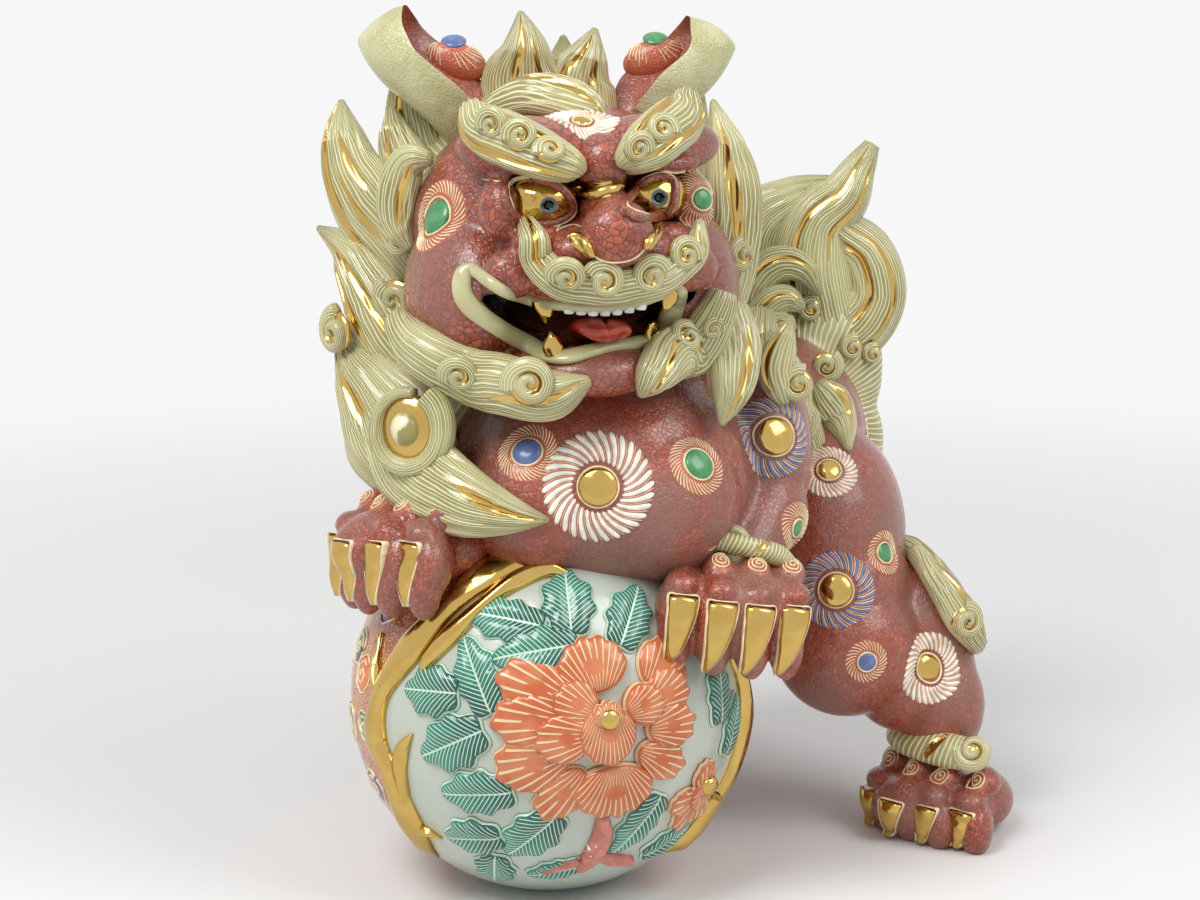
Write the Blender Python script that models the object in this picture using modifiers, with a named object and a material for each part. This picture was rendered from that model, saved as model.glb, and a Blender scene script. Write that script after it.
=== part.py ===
# Porcelain guardian lion resting on a ball, built from the sections that the potter
# casts or presses one by one and lutes together with slip before the firing.
# Run it with: blender --background --python part.py
# Lengths are in metres, +Z is up and the figure faces -Y.

import math

import bmesh
import bpy
from mathutils import Matrix, Vector
from mathutils.bvhtree import BVHTree

MM = 0.001

# Driving sizes
SEAT_GAP = 0.3 * MM  # slip line between two neighbouring sections
HAIR = 0.011 * MM
CRUMB = 0.06 * MM  # edges shorter than this are closed up
SLIVER = 0.002 * MM**2

BALL_RADIUS = 93 * MM
BALL_FOOT_RADIUS = 30 * MM  # flat ring that the ball stands on
VENT_RADIUS = 9 * MM  # recess of the slip drain in the ball's foot
VENT_DEPTH = 12 * MM

CHEST_WIDTH = 146 * MM
CHEST_DEPTH = 120 * MM
RUMP_WIDTH = 110 * MM
BODY_LENGTH = 152 * MM  # from the chest to the rump
BODY_TURN = 33  # degrees between the body's line and the viewing direction

HEAD_WIDTH = 150 * MM
HEAD_TURN = 15  # degrees, to the figure's left
EYE_WIDTH = 31 * MM
PUPIL_RADIUS = 1.7 * MM
EAR_LENGTH = 76 * MM
EAR_DEPTH = 40 * MM
EAR_WALL = 6 * MM
MOUTH_WIDTH = 100 * MM
MOUTH_HEIGHT = 19 * MM
MOUTH_RISE = 14 * MM  # how far the corners of the mouth turn up
LIP_THICKNESS = 8.5 * MM
FANG_LENGTH = 13 * MM

PAW_WIDTH = 70 * MM
PAW_HEIGHT = 42 * MM
CLAW_LENGTH = 27 * MM
LEFT_STRIDE = 172 * MM  # how far to the figure's left its hind paw stands
LEFT_SETBACK = 24 * MM
RIGHT_STRIDE = 2 * MM
RIGHT_SETBACK = 150 * MM

CURL_HEIGHT = 5 * MM
BLOOM_RADIUS = 46 * MM
LEAF_LENGTH = 34 * MM
RELIEF = 6 * MM  # how far the sprigs stand off the ball
RIBBON_WIDTH = 14 * MM

# Colours as linear RGB, with roughness and metallic value
RED_GLAZE = ((0.26, 0.075, 0.07), 0.3, 0.0)
CREAM_GLAZE = ((0.66, 0.62, 0.36), 0.28, 0.0)
GILT = ((0.72, 0.50, 0.16), 0.18, 1.0)
WHITE_GLAZE = ((0.72, 0.74, 0.70), 0.2, 0.0)
BLOOM_ORANGE = ((0.72, 0.13, 0.04), 0.35, 0.0)
LEAF_GREEN = ((0.03, 0.27, 0.20), 0.3, 0.0)
TONGUE_RED = ((0.55, 0.04, 0.02), 0.3, 0.0)


def clear_scene():
    for thing in list(bpy.data.objects):
        bpy.data.objects.remove(thing)


def new_collection(name):
    group = bpy.data.collections.new(name)
    bpy.context.scene.collection.children.link(group)
    return group


def paint(obj, name, finish):
    """Gives obj a Principled material made from a colour, a roughness and a metallic value."""
    colour, roughness, metallic = finish
    material = bpy.data.materials.get(name)
    if material is None:
        material = bpy.data.materials.new(name)
        material.use_nodes = True
        shader = material.node_tree.nodes["Principled BSDF"]
        shader.inputs["Base Color"].default_value = (*colour, 1)
        shader.inputs["Roughness"].default_value = roughness
        shader.inputs["Metallic"].default_value = metallic
    obj.data.materials.clear()
    obj.data.materials.append(material)


def at(x, y, z):
    """A point given in millimetres."""
    return Vector((x, y, z)) * MM


clear_scene()
FIGURE = new_collection("guardian_lion")
SPACES = new_collection("seat_spaces")  # the space that each section takes from the later ones
SETTLED = []  # sections in the order they are luted on: section, its space and that one's tree

# Where the main masses stand
BALL_CENTRE = Vector((-25 * MM, -27 * MM, math.sqrt(BALL_RADIUS**2 - BALL_FOOT_RADIUS**2)))
BALL_TOP = BALL_CENTRE.z + BALL_RADIUS
CHEST = Vector((0, -33 * MM, BALL_TOP + 14 * MM))
HEAD = CHEST + at(-14, 3, 105)
RUMP = CHEST + Matrix.Rotation(math.radians(-BODY_TURN), 3, "Z") @ Vector((0, BODY_LENGTH, -7 * MM))
HEAD_SCALE = HEAD_WIDTH / (150 * MM)


def head_at(x, y, z):
    """A point given in millimetres from the middle of the head, turned with the face."""
    turned = Matrix.Rotation(math.radians(HEAD_TURN), 3, "Z") @ Vector((x, y, z))
    return HEAD + turned * MM * HEAD_SCALE


def mane_at(x, y, z):
    """A point given in millimetres from the middle of the head, not turned."""
    return HEAD + at(x, y, z) * HEAD_SCALE


def ball_at(longitude, latitude, lift=0.0):
    """A point on the ball. Longitude 0 faces -Y, and lift is in metres above the glaze."""
    lon, lat = math.radians(longitude), math.radians(latitude)
    out = Vector((math.sin(lon) * math.cos(lat), -math.cos(lon) * math.cos(lat), math.sin(lat)))
    return BALL_CENTRE + out * (BALL_RADIUS + lift)


def mesh_object(name, mesh):
    obj = bpy.data.objects.new(name, mesh)
    FIGURE.objects.link(obj)
    return obj


def baked(obj):
    """obj with its modifiers applied, as one plain mesh object."""
    bpy.context.view_layer.update()
    evaluated = obj.evaluated_get(bpy.context.evaluated_depsgraph_get())
    mesh = bpy.data.meshes.new_from_object(evaluated)
    mesh.transform(obj.matrix_world)
    name = obj.name
    bpy.data.objects.remove(obj)
    return mesh_object(name, mesh)


def keep_largest(obj, crumb):
    """Drops the crumbs that a cut leaves, keeping the island with the most surface, and closes
    up edges shorter than crumb."""
    bm = bmesh.new()
    bm.from_mesh(obj.data)
    unseen, islands = set(bm.faces), []
    while unseen:
        island, front = [], [unseen.pop()]
        while front:
            face = front.pop()
            island.append(face)
            for edge in face.edges:
                near = [f for f in edge.link_faces if f in unseen]
                unseen.difference_update(near)
                front.extend(near)
        islands.append(island)
    islands.sort(key=lambda faces: sum(f.calc_area() for f in faces))
    crumbs = [face for island in islands[:-1] for face in island]
    bmesh.ops.delete(bm, geom=crumbs, context="FACES")
    if crumb:
        bmesh.ops.dissolve_degenerate(bm, edges=bm.edges, dist=crumb)
    bmesh.ops.triangulate(bm, faces=bm.faces)
    bm.to_mesh(obj.data)
    bm.free()


def volume_if_closed(obj):
    """The volume that obj encloses, or nothing where its surface is open."""
    bm = bmesh.new()
    bm.from_mesh(obj.data)
    closed = all(len(edge.link_faces) == 2 for edge in bm.edges)
    volume = bm.calc_volume(signed=True)
    bm.free()
    return volume if closed else 0.0


def way_out(vert, gap):
    """The move that takes a vertex past all its faces by gap."""
    normals = [face.normal for face in vert.link_faces if face.calc_area() > SLIVER]
    move = vert.normal * gap
    for _ in range(8):
        for normal in normals:
            short = gap - move.dot(normal)
            if short > 0:
                move += normal * short
    return move * min(1, 2.5 * gap / move.length) if move.length else move


def swollen(obj, gap):
    """A hidden copy of obj, larger by gap all round, to cut its neighbours with."""
    cutter = obj.copy()
    cutter.data = obj.data.copy()
    cutter.name = f"space_of_{obj.name}"
    cutter.hide_render = True
    cutter.display_type = "WIRE"
    SPACES.objects.link(cutter)
    bm = bmesh.new()
    bm.from_mesh(cutter.data)
    bmesh.ops.recalc_face_normals(bm, faces=bm.faces)
    bm.normal_update()
    moves = [way_out(vert, gap) for vert in bm.verts]
    for vert, move in zip(bm.verts, moves):
        vert.co += move
    bm.to_mesh(cutter.data)
    bm.free()
    return cutter


def cut(obj, cutter, operation="DIFFERENCE", keep_both=False):
    """Cuts obj with cutter, or joins them. A cut that comes out torn is made again, without
    closing up its short edges or with the cutter a hair to one side."""
    before = volume_if_closed(obj)
    name = obj.name
    best, best_volume = None, -1.0
    for attempt in range(8):
        trial = mesh_object(name, obj.data.copy())
        modifier = trial.modifiers.new("fit", "BOOLEAN")
        modifier.operation = operation
        modifier.solver = "EXACT"
        modifier.use_self = attempt % 4 > 1
        modifier.object = cutter
        trial = baked(trial)
        keep_largest(trial, CRUMB * (1 - attempt % 2))
        after = volume_if_closed(trial)
        grown = operation == "UNION" and before * 0.98 < after
        trimmed = operation == "DIFFERENCE" and before * 0.12 < after < before * 1.001
        if after > best_volume:
            best, best_volume, worse = trial, after, best
        else:
            worse = trial
        if worse:
            bpy.data.objects.remove(worse)
        if grown or trimmed:
            break
        cutter.location = Vector((HAIR, -0.7 * HAIR, 0.4 * HAIR)) * (attempt // 4)
    cutter.location = (0, 0, 0)
    if not keep_both:
        bpy.data.objects.remove(cutter)
        bpy.data.objects.remove(obj)
        best.name = name
    return best


def tree_of(obj):
    bm = bmesh.new()
    bm.from_mesh(obj.data)
    tree = BVHTree.FromBMesh(bm)
    bm.free()
    return tree


def seat(obj, neighbour, space):
    """Cuts obj to lie against a neighbour, with a wider slip line if it still touches."""
    neighbour_tree = tree_of(neighbour)
    name = obj.name
    for widening in (1, 1.8, 2.8):
        cutter = space if widening == 1 else swollen(neighbour, SEAT_GAP * widening)
        trial = cut(obj, cutter, keep_both=True)
        if widening > 1:
            bpy.data.objects.remove(cutter)
        if widening == 2.8 or not tree_of(trial).overlap(neighbour_tree):
            break
        bpy.data.objects.remove(trial)
    bpy.data.objects.remove(obj)
    trial.name = name
    return trial


def settle(obj, material_name, finish):
    """Fits a section to every section already in place, with the slip line between them."""
    tree = tree_of(obj)
    for neighbour, space, space_tree in SETTLED:
        if tree.overlap(space_tree):
            obj = seat(obj, neighbour, space)
    paint(obj, material_name, finish)
    obj.data.shade_smooth()
    obj.data.set_sharp_from_angle(angle=math.radians(40))
    space = swollen(obj, SEAT_GAP)
    SETTLED.append((obj, space, tree_of(space)))
    return obj


# Lumps of clay: each is a centre, three radii and a turn about +Z in degrees


def lump(centre, radii, turn=0.0):
    return centre, Vector(radii) * MM, turn


def chain(start, end, start_radius, end_radius, count=4):
    """Round lumps along a line, which make a tapered limb."""
    lumps = []
    for step in range(count):
        share = step / (count - 1)
        radius = start_radius + (end_radius - start_radius) * share
        lumps.append(lump(start.lerp(end, share), (radius, radius, radius)))
    return lumps


def clay(name, lumps, grain, softness, facets, place=None):
    """Lumps pressed into one body: joined, smoothed by hand and brought to so many facets."""
    bm = bmesh.new()
    for centre, radii, turn in lumps:
        pose = Matrix.Translation(centre) @ Matrix.Rotation(math.radians(turn), 4, "Z")
        pose = pose @ Matrix.Diagonal((*radii, 1))
        bmesh.ops.create_uvsphere(bm, u_segments=24, v_segments=14, radius=1, matrix=pose)
    mesh = bpy.data.meshes.new(name)
    bm.to_mesh(mesh)
    bm.free()
    if place is not None:
        mesh.transform(place)
    return pressed(mesh_object(name, mesh), grain, softness, facets)


def pressed(obj, grain, softness, facets):
    """Works a rough body into one even skin with so many facets."""
    fuse = obj.modifiers.new("fuse", "REMESH")
    fuse.mode = "VOXEL"
    fuse.voxel_size = grain * MM
    smooth = obj.modifiers.new("smooth", "SMOOTH")
    smooth.factor = 0.5
    smooth.iterations = softness
    return thinned(baked(obj), facets)


def thinned(obj, facets):
    """obj with no more than so many triangles."""
    count = sum(len(face.vertices) - 2 for face in obj.data.polygons)
    if count > facets:
        thin = obj.modifiers.new("facets", "DECIMATE")
        thin.ratio = facets / count
        obj = baked(obj)
    return obj


def floor_cut(obj):
    """Cuts a section flat where it stands on the table."""
    bpy.ops.mesh.primitive_cube_add(size=1, location=(0, 0, -0.5))
    slab = bpy.context.object
    slab.hide_render = True
    return cut(obj, slab)


def smooth_line(points, share):
    """A point on the smooth curve through points, share of the way along."""
    spans = len(points) - 1
    place = min(max(share, 0.0), 1.0) * spans
    i = min(int(place), spans - 1)
    t = place - i
    p0 = points[max(i - 1, 0)]
    p1, p2 = points[i], points[i + 1]
    p3 = points[min(i + 2, spans)]
    a, b = 2 * p1, p2 - p0
    c = 2 * p0 - 5 * p1 + 4 * p2 - p3
    d = 3 * p1 - 3 * p2 + p3 - p0
    return 0.5 * (a + b * t + c * t * t + d * t**3)


FLAT = (0.0, 1.0)


def lock(name, points, halves, thickness, facing, sides=8, rings=6, valley=(0.35, 0.35)):
    """A flame of hair: a sphere drawn out along a curve, with a valley down its front, given
    as a depth and a width. halves are its half widths in millimetres at the points, and facing
    is its front."""
    bm = bmesh.new()
    bmesh.ops.create_uvsphere(bm, u_segments=sides, v_segments=rings, radius=1)
    front = Vector(facing).normalized()
    for vert in bm.verts:
        along = math.acos(max(-1, min(1, -vert.co.z))) / math.pi
        around = math.atan2(vert.co.y, vert.co.x)
        ring = math.hypot(vert.co.x, vert.co.y)
        open_end = 0.0 if ring < 1e-4 else 1.0
        middle = smooth_line(points, along)
        ahead = smooth_line(points, along + 0.02) - smooth_line(points, along - 0.02)
        side = ahead.cross(front).normalized()
        out = side.cross(ahead).normalized()
        half = max(smooth_line(halves, along), 0.6) * MM * open_end
        taper = min(1, half / (max(halves) * MM) * 1.6)
        across, rise = math.cos(around), math.sin(around)
        groove = 1 - valley[0] * math.exp(-((across / valley[1]) ** 2)) if rise > 0 else 1
        vert.co = middle + side * half * across
        vert.co += out * thickness * MM * 0.5 * rise * groove * taper * open_end
    return solid(name, bm)


def solid(name, bm):
    """The closed surface in bm as an object, its faces turned outward."""
    bmesh.ops.recalc_face_normals(bm, faces=bm.faces)
    if bm.calc_volume(signed=True) < 0:
        bmesh.ops.reverse_faces(bm, faces=bm.faces)
    mesh = bpy.data.meshes.new(name)
    bm.to_mesh(mesh)
    bm.free()
    return mesh_object(name, mesh)


def curl(name, centre, radius, facing, turns=1.3, sides=10, rings=4):
    """A snail curl: a domed disc whose face carries a spiral groove. radius is in millimetres."""
    bm = bmesh.new()
    bmesh.ops.create_uvsphere(bm, u_segments=sides, v_segments=rings, radius=1)
    for vert in bm.verts:
        reach = math.hypot(vert.co.x, vert.co.y)
        around = math.atan2(vert.co.y, vert.co.x)
        rise = vert.co.z
        if rise > 0.05:
            wave = math.cos(around - turns * 2 * math.pi * reach)
            rise *= 1 + 0.28 * wave * (1 - reach**4)
        vert.co = Vector((vert.co.x * radius, vert.co.y * radius, rise * CURL_HEIGHT / MM)) * MM
    turn = Vector(facing).to_track_quat("Z", "Y").to_matrix().to_4x4()
    bmesh.ops.transform(bm, matrix=Matrix.Translation(centre) @ turn, verts=bm.verts)
    return solid(name, bm)


def join(first, second):
    """Two overlapping shapes as one body."""
    return cut(first, second, "UNION")


# The ball, turned from its section, with the recess of its drain in the flat foot


def make_ball():
    foot_angle = math.asin(BALL_FOOT_RADIUS / BALL_RADIUS)
    foot_level = -math.sqrt(BALL_RADIUS**2 - BALL_FOOT_RADIUS**2)
    profile = []
    steps = 12
    for step in range(steps + 1):
        angle = (math.pi - foot_angle) * step / steps
        profile.append((BALL_RADIUS * math.sin(angle), BALL_RADIUS * math.cos(angle)))
    profile.append((VENT_RADIUS, foot_level))
    profile.append((VENT_RADIUS, foot_level + VENT_DEPTH))
    profile.append((0, foot_level + VENT_DEPTH))
    mesh = bpy.data.meshes.new("ball")
    bm = bmesh.new()
    verts = [bm.verts.new((max(r, 0), 0, z)) for r, z in profile]
    for a, b in zip(verts, verts[1:]):
        bm.edges.new((a, b))
    bm.to_mesh(mesh)
    bm.free()
    ball = mesh_object("ball", mesh)
    ball.location = BALL_CENTRE
    turn = ball.modifiers.new("turn", "SCREW")
    turn.steps = turn.render_steps = 20
    turn.use_merge_vertices = True
    turn.merge_threshold = 0.00001
    ball = baked(ball)
    bm = bmesh.new()
    bm.from_mesh(ball.data)
    bmesh.ops.remove_doubles(bm, verts=bm.verts, dist=0.00001)
    bm.to_mesh(ball.data)
    bm.free()
    settle(ball, "white_glaze", WHITE_GLAZE)


# The head: a hollow casting with its mouth cut open


def make_head():
    skull = [
        lump(head_at(0, 12, 10), (70, 60, 57), HEAD_TURN),
        lump(head_at(-47, -4, -20), (29, 44, 38), HEAD_TURN),
        lump(head_at(47, -4, -20), (29, 44, 38), HEAD_TURN),
        lump(head_at(0, -44, 2), (44, 36, 24), HEAD_TURN),
        lump(head_at(0, -16, 40), (44, 34, 24), HEAD_TURN),
        lump(head_at(-30, -34, 50), (30, 23, 14), HEAD_TURN),
        lump(head_at(30, -34, 50), (30, 23, 14), HEAD_TURN),
        lump(head_at(0, -56, 44), (12, 14, 13), HEAD_TURN),
        lump(head_at(0, -62, 26), (12, 22, 12), HEAD_TURN),
        lump(head_at(0, -80, 17), (16, 14, 14), HEAD_TURN),
        lump(head_at(-17, -70, 10), (11, 12, 9), HEAD_TURN),
        lump(head_at(17, -70, 10), (11, 12, 9), HEAD_TURN),
    ]
    head = clay("head", skull, 3.2, 6, 480)
    bpy.ops.mesh.primitive_uv_sphere_add(segments=18, ring_count=6, radius=1)
    mouth = bpy.context.object
    mouth.data.transform(Matrix.Diagonal((MOUTH_WIDTH / 2, 60 * MM, MOUTH_HEIGHT / 2, 1)))
    for vert in mouth.data.vertices:
        vert.co.z += MOUTH_RISE * abs(vert.co.x / (MOUTH_WIDTH / 2)) ** 1.7
    mouth.data.transform(Matrix.Rotation(math.radians(HEAD_TURN), 4, "Z"))
    mouth.data.transform(Matrix.Translation(head_at(-3, -34, -27)))
    head = cut(head, mouth)
    bpy.ops.mesh.primitive_cube_add(size=1)
    jaw_space = bpy.context.object
    jaw_space.data.transform(Matrix.Diagonal((74 * MM, 76 * MM, 70 * MM, 1)))
    jaw_space.data.transform(Matrix.Rotation(math.radians(HEAD_TURN), 4, "Z"))
    jaw_space.data.transform(Matrix.Translation(head_at(0, -70, -61)))
    return settle(cut(head, jaw_space), "red_glaze", RED_GLAZE)


def make_jaw():
    chin = [
        lump(head_at(0, -50, -46), (31, 22, 12), HEAD_TURN),
        lump(head_at(-24, -36, -46), (18, 24, 12), HEAD_TURN),
        lump(head_at(24, -36, -46), (18, 24, 12), HEAD_TURN),
        lump(head_at(0, -30, -50), (36, 26, 12), HEAD_TURN),
    ]
    return settle(clay("lower_jaw", chin, 2.6, 3, 120), "red_glaze", RED_GLAZE)


def lip(name, points, rise):
    """A rolled rim of clay round half of the mouth."""
    data = bpy.data.curves.new(name, "CURVE")
    data.dimensions = "3D"
    data.bevel_depth = LIP_THICKNESS / 2
    data.bevel_resolution = 1
    data.use_fill_caps = True
    spline = data.splines.new("POLY")
    count = 11
    spline.points.add(count - 1)
    for i in range(count):
        point = smooth_line(points, i / (count - 1))
        spline.points[i].co = (*point, 1)
        spline.points[i].radius = 0.75 + rise * math.sin(math.pi * i / (count - 1))
    obj = bpy.data.objects.new(name, data)
    FIGURE.objects.link(obj)
    obj = baked(obj)
    bm = bmesh.new()
    bm.from_mesh(obj.data)
    bmesh.ops.remove_doubles(bm, verts=bm.verts, dist=0.00001)
    bpy.data.objects.remove(obj)
    return solid(name, bm)


def make_lips():
    """The lips reach as far as the mouth is wide, and turn up with its corners."""
    wide = MOUTH_WIDTH / (100 * MM)
    rise = MOUTH_RISE / (14 * MM)
    upper = [(-57, -45, -10), (-50, -51, -6), (-42, -62, -9), (-29, -70, -14), (-14, -76, -17)]
    upper += [(2, -77, -17), (18, -73, -16), (30, -65, -13), (38, -58, -10), (44, -51, -10)]
    lower = [(-56, -43, -16), (-50, -49, -23), (-38, -53, -32), (-25, -61, -39), (-12, -66, -41)]
    lower += [(4, -66, -40), (22, -60, -37), (34, -53, -29), (42, -49, -20)]
    for name, line in (("upper_lip", upper), ("lower_lip", lower)):
        points = [head_at(x * wide, y, z * rise - 17 * (1 - rise)) for x, y, z in line]
        settle(lip(name, points, 0.25), "cream_glaze", CREAM_GLAZE)


# Body and legs


def make_torso():
    wide = CHEST_WIDTH / MM / 2
    deep = CHEST_DEPTH / MM / 2
    rump = RUMP_WIDTH / MM / 2
    middle = CHEST.lerp(RUMP, 0.5)
    body = [
        lump(CHEST, (wide, deep, 58)),
        lump(CHEST + at(-26, -18, -2), (38, 44, 40)),
        lump(CHEST + at(26, -18, -2), (38, 44, 40)),
        lump(CHEST + at(-6, 12, 46), (57, 47, 46)),
        lump(middle, (56, 66, 50), -BODY_TURN),
        lump(RUMP, (rump, rump, rump), -BODY_TURN),
    ]
    settle(clay("torso", body, 4.5, 8, 380), "red_glaze", RED_GLAZE)


def haunch(name, hip, knee, hock, ankle):
    """Thigh, knee and hock of a hind leg, down to the ankle."""
    parts = [
        lump(hip, (42, 54, 56)),
        lump(hip.lerp(knee, 0.55), (40, 44, 42)),
        lump(knee, (38, 38, 37)),
        lump(knee.lerp(ankle, 0.6), (26, 26, 24)),
        lump(hock, (32, 32, 40)),
        lump(ankle, (24, 24, 30)),
    ]
    parts += chain(hock, ankle, 30, 23, 3)
    return settle(clay(name, parts, 4, 8, 210), "red_glaze", RED_GLAZE)


def paw(name, place, long_claws=1.0):
    """A paw with two rows of knuckles and four claws, its sole on its own z = 0."""
    wide = PAW_WIDTH / MM
    high = PAW_HEIGHT / MM
    parts = [lump(at(0, 10, 0.44 * high), (0.46 * wide, 27, 0.46 * high))]
    parts.append(lump(at(0, -4, 0.42 * high), (0.44 * wide, 22, 0.40 * high)))
    toe_step = wide / 4.1
    for toe in range(4):
        x = (toe - 1.5) * toe_step
        back = 5 * abs(toe - 1.5) - 2.5
        parts.append(lump(at(x, back - 13, 0.34 * high), (8.8, 16, 0.34 * high)))
        parts.append(lump(at(x, back - 22, 0.66 * high), (8.4, 9, 8)))
        parts.append(lump(at(x, back - 6, 0.86 * high), (8.2, 11, 8.5)))
        root = at(x, back - 26, 0.6 * high)
        tip = root - Vector((0, 2 * MM, CLAW_LENGTH * long_claws - 0.12 * PAW_HEIGHT))
        parts += chain(root, tip, 6, 3, 5)
    return clay(name, parts, 2.3, 3, 230, place)


def standing(centre, yaw):
    return Matrix.Translation(centre) @ Matrix.Rotation(math.radians(yaw), 4, "Z")


def clasping(centre, yaw, lean):
    """A paw's place on the side of the ball, leaning over by so many degrees."""
    turn = Matrix.Rotation(math.radians(yaw), 4, "Z") @ Matrix.Rotation(math.radians(lean), 4, "Y")
    return Matrix.Translation(centre) @ turn


FRONT_LEFT_PLACE = clasping(ball_at(62, 22, 0.006), 8, 8)
FRONT_RIGHT_PLACE = clasping(ball_at(-54, 41, 0.004), -48, -6)
ANKLE_PATH = [(-30, 20, 0), (-20, -4, 0), (2, -12, -1), (22, -6, -2), (30, 10, -4)]
LEFT_HIND_PAW = Vector((LEFT_STRIDE, LEFT_SETBACK, 0))
RIGHT_HIND_PAW = Vector((RIGHT_STRIDE, RIGHT_SETBACK, 0))
LEFT_HOCK = LEFT_HIND_PAW + Vector((-14 * MM, 26 * MM, 0.525 * BALL_TOP))
SOLE_CUT = at(0, 0, 4)


def make_hind_legs():
    high = PAW_HEIGHT
    left_ankle = LEFT_HIND_PAW + at(-2, 12, 20) + Vector((0, 0, high))
    haunch(
        "hind_leg_left",
        CHEST + at(112, 95, -49),
        LEFT_HIND_PAW + Vector((-50 * MM, 4 * MM, 0.53 * BALL_TOP)),
        LEFT_HOCK,
        left_ankle,
    )
    right_ankle = RIGHT_HIND_PAW + at(6, 8, 20) + Vector((0, 0, high))
    haunch(
        "hind_leg_right",
        CHEST + at(42, 158, -49),
        RIGHT_HIND_PAW + Vector((-4 * MM, -46 * MM, 0.552 * BALL_TOP)),
        RIGHT_HIND_PAW + Vector((2 * MM, -2 * MM, 0.525 * BALL_TOP)),
        right_ankle,
    )
    left = floor_cut(paw("hind_paw_left", standing(LEFT_HIND_PAW - SOLE_CUT, -40), 1.06))
    settle(left, "red_glaze", RED_GLAZE)
    right = floor_cut(paw("hind_paw_right", standing(RIGHT_HIND_PAW - SOLE_CUT, -20), 1.06))
    settle(right, "red_glaze", RED_GLAZE)


def make_forelegs():
    left = [lump(CHEST + at(79, 27, 2), (21, 34, 44)), lump(CHEST + at(77, 8, -18), (19, 22, 20))]
    wrist = FRONT_LEFT_PLACE @ (at(5, 22, -6) + Vector((0, 0, PAW_HEIGHT)))
    left += chain(CHEST + at(76, 4, -20), wrist, 18, 16)
    settle(clay("foreleg_left", left, 3.5, 5, 150), "red_glaze", RED_GLAZE)
    right = [lump(CHEST + at(-70, 24, 0), (22, 34, 40))]
    wrist = FRONT_RIGHT_PLACE @ (at(-4, 20, -18) + Vector((0, 0, PAW_HEIGHT)))
    right += chain(CHEST + at(-52, -4, -18), wrist, 22, 17, 5)
    settle(clay("foreleg_right", right, 3.5, 5, 150), "red_glaze", RED_GLAZE)


def make_forepaws():
    """The forepaws go on after the locks that hang over them."""
    left_paw = paw("front_paw_left", FRONT_LEFT_PLACE, 1.35)
    settle(left_paw, "red_glaze", RED_GLAZE)
    right_paw = paw("front_paw_right", FRONT_RIGHT_PLACE, 1.2)
    settle(right_paw, "red_glaze", RED_GLAZE)


# Ears and the features of the face


def make_ears():
    """Deep spoons, the one on the figure's right pointed and the other one rounded."""
    reach = EAR_LENGTH / (76 * MM)
    ears = {
        "ear_right": (
            [(-28, 32, 62), (-39, 36, 77), (-52, 41, 88), (-63, 44, 96), (-67, 45, 109)], 2.5,
            (0.62, -0.35, 0.7)),
        "ear_left": (
            [(32, 26, 62), (41, 29, 77), (54, 32, 86), (67, 33, 92), (76, 32, 101)], 9,
            (-0.55, -0.4, 0.73)),
    }
    for name, (path, end, facing) in ears.items():
        root = Vector(path[0])
        points = [head_at(*(root + (Vector(spot) - root) * reach)) for spot in path]
        hollow = (2 - 2 * EAR_WALL / EAR_DEPTH, 0.85)
        spoon = lock(name, points, [13, 20, 22, 18, end], EAR_DEPTH / MM, facing, 14, 9, hollow)
        settle(spoon, "cream_glaze", CREAM_GLAZE)


def make_eyes():
    for side, name in ((-1, "eye_right"), (1, "eye_left")):
        bm = bmesh.new()
        bmesh.ops.create_uvsphere(bm, u_segments=12, v_segments=6, radius=1)
        mesh = bpy.data.meshes.new(name)
        bm.to_mesh(mesh)
        bm.free()
        half = EYE_WIDTH / 2
        mesh.transform(Matrix.Diagonal((half, 0.9 * half, 0.78 * half, 1)))
        mesh.transform(Matrix.Rotation(math.radians(HEAD_TURN + side * 12), 4, "Z"))
        mesh.transform(Matrix.Translation(head_at(side * 25, -51, 29)))
        eye = mesh_object(name, mesh)
        bpy.ops.mesh.primitive_cylinder_add(vertices=6, radius=PUPIL_RADIUS, depth=0.03)
        pupil = bpy.context.object
        pupil.data.transform(Matrix.Rotation(math.radians(90), 4, "X"))
        pupil.data.transform(Matrix.Translation(head_at(side * 21 + 2, -75, 29)))
        settle(cut(eye, pupil), "gilt", GILT)


def make_brows():
    """Cloud brows, each a drawn-out roll with three snail curls."""
    rolls = {
        "brow_right": [(-11, -70, 41), (-26, -67, 45), (-40, -55, 51), (-49, -36, 58), (-51, -16, 68)],
        "brow_left": [(3, -72, 43), (15, -69, 50), (28, -62, 57), (40, -50, 64), (47, -36, 73)],
    }
    for name, path in rolls.items():
        points = [head_at(*spot) for spot in path]
        brow = lock(name, points, [5, 11, 13, 11, 4], 22, (0, -1, 0.2), 6, 7, FLAT)
        for share in (0.2, 0.46, 0.72):
            middle = smooth_line(points, share) + at(0, -9, 3)
            brow = join(brow, curl("knob", middle, 6.5, (0, -1, 0.4), 1, 6, 4))
        settle(thinned(brow, 150), "cream_glaze", CREAM_GLAZE)


def make_moustache():
    path = [(-40, -60, 16), (-34, -70, 1), (-19, -81, -3), (0, -87, -5)]
    path += [(19, -81, -3), (34, -70, 1), (40, -60, 16)]
    points = [head_at(*place) for place in path]
    tache = lock("moustache", points, [4, 10, 11, 8, 11, 10, 4], 16, (0.2, -1, 0.1), 6, 11, FLAT)
    for x, y in ((-27, -80), (-10, -89), (10, -89), (27, -80)):
        knob = curl("knob", head_at(x, y, -2), 8.5, (x / 60 + 0.2, -1, 0.1), 1, 7, 4)
        tache = join(tache, knob)
    settle(thinned(tache, 190), "cream_glaze", CREAM_GLAZE)


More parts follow.
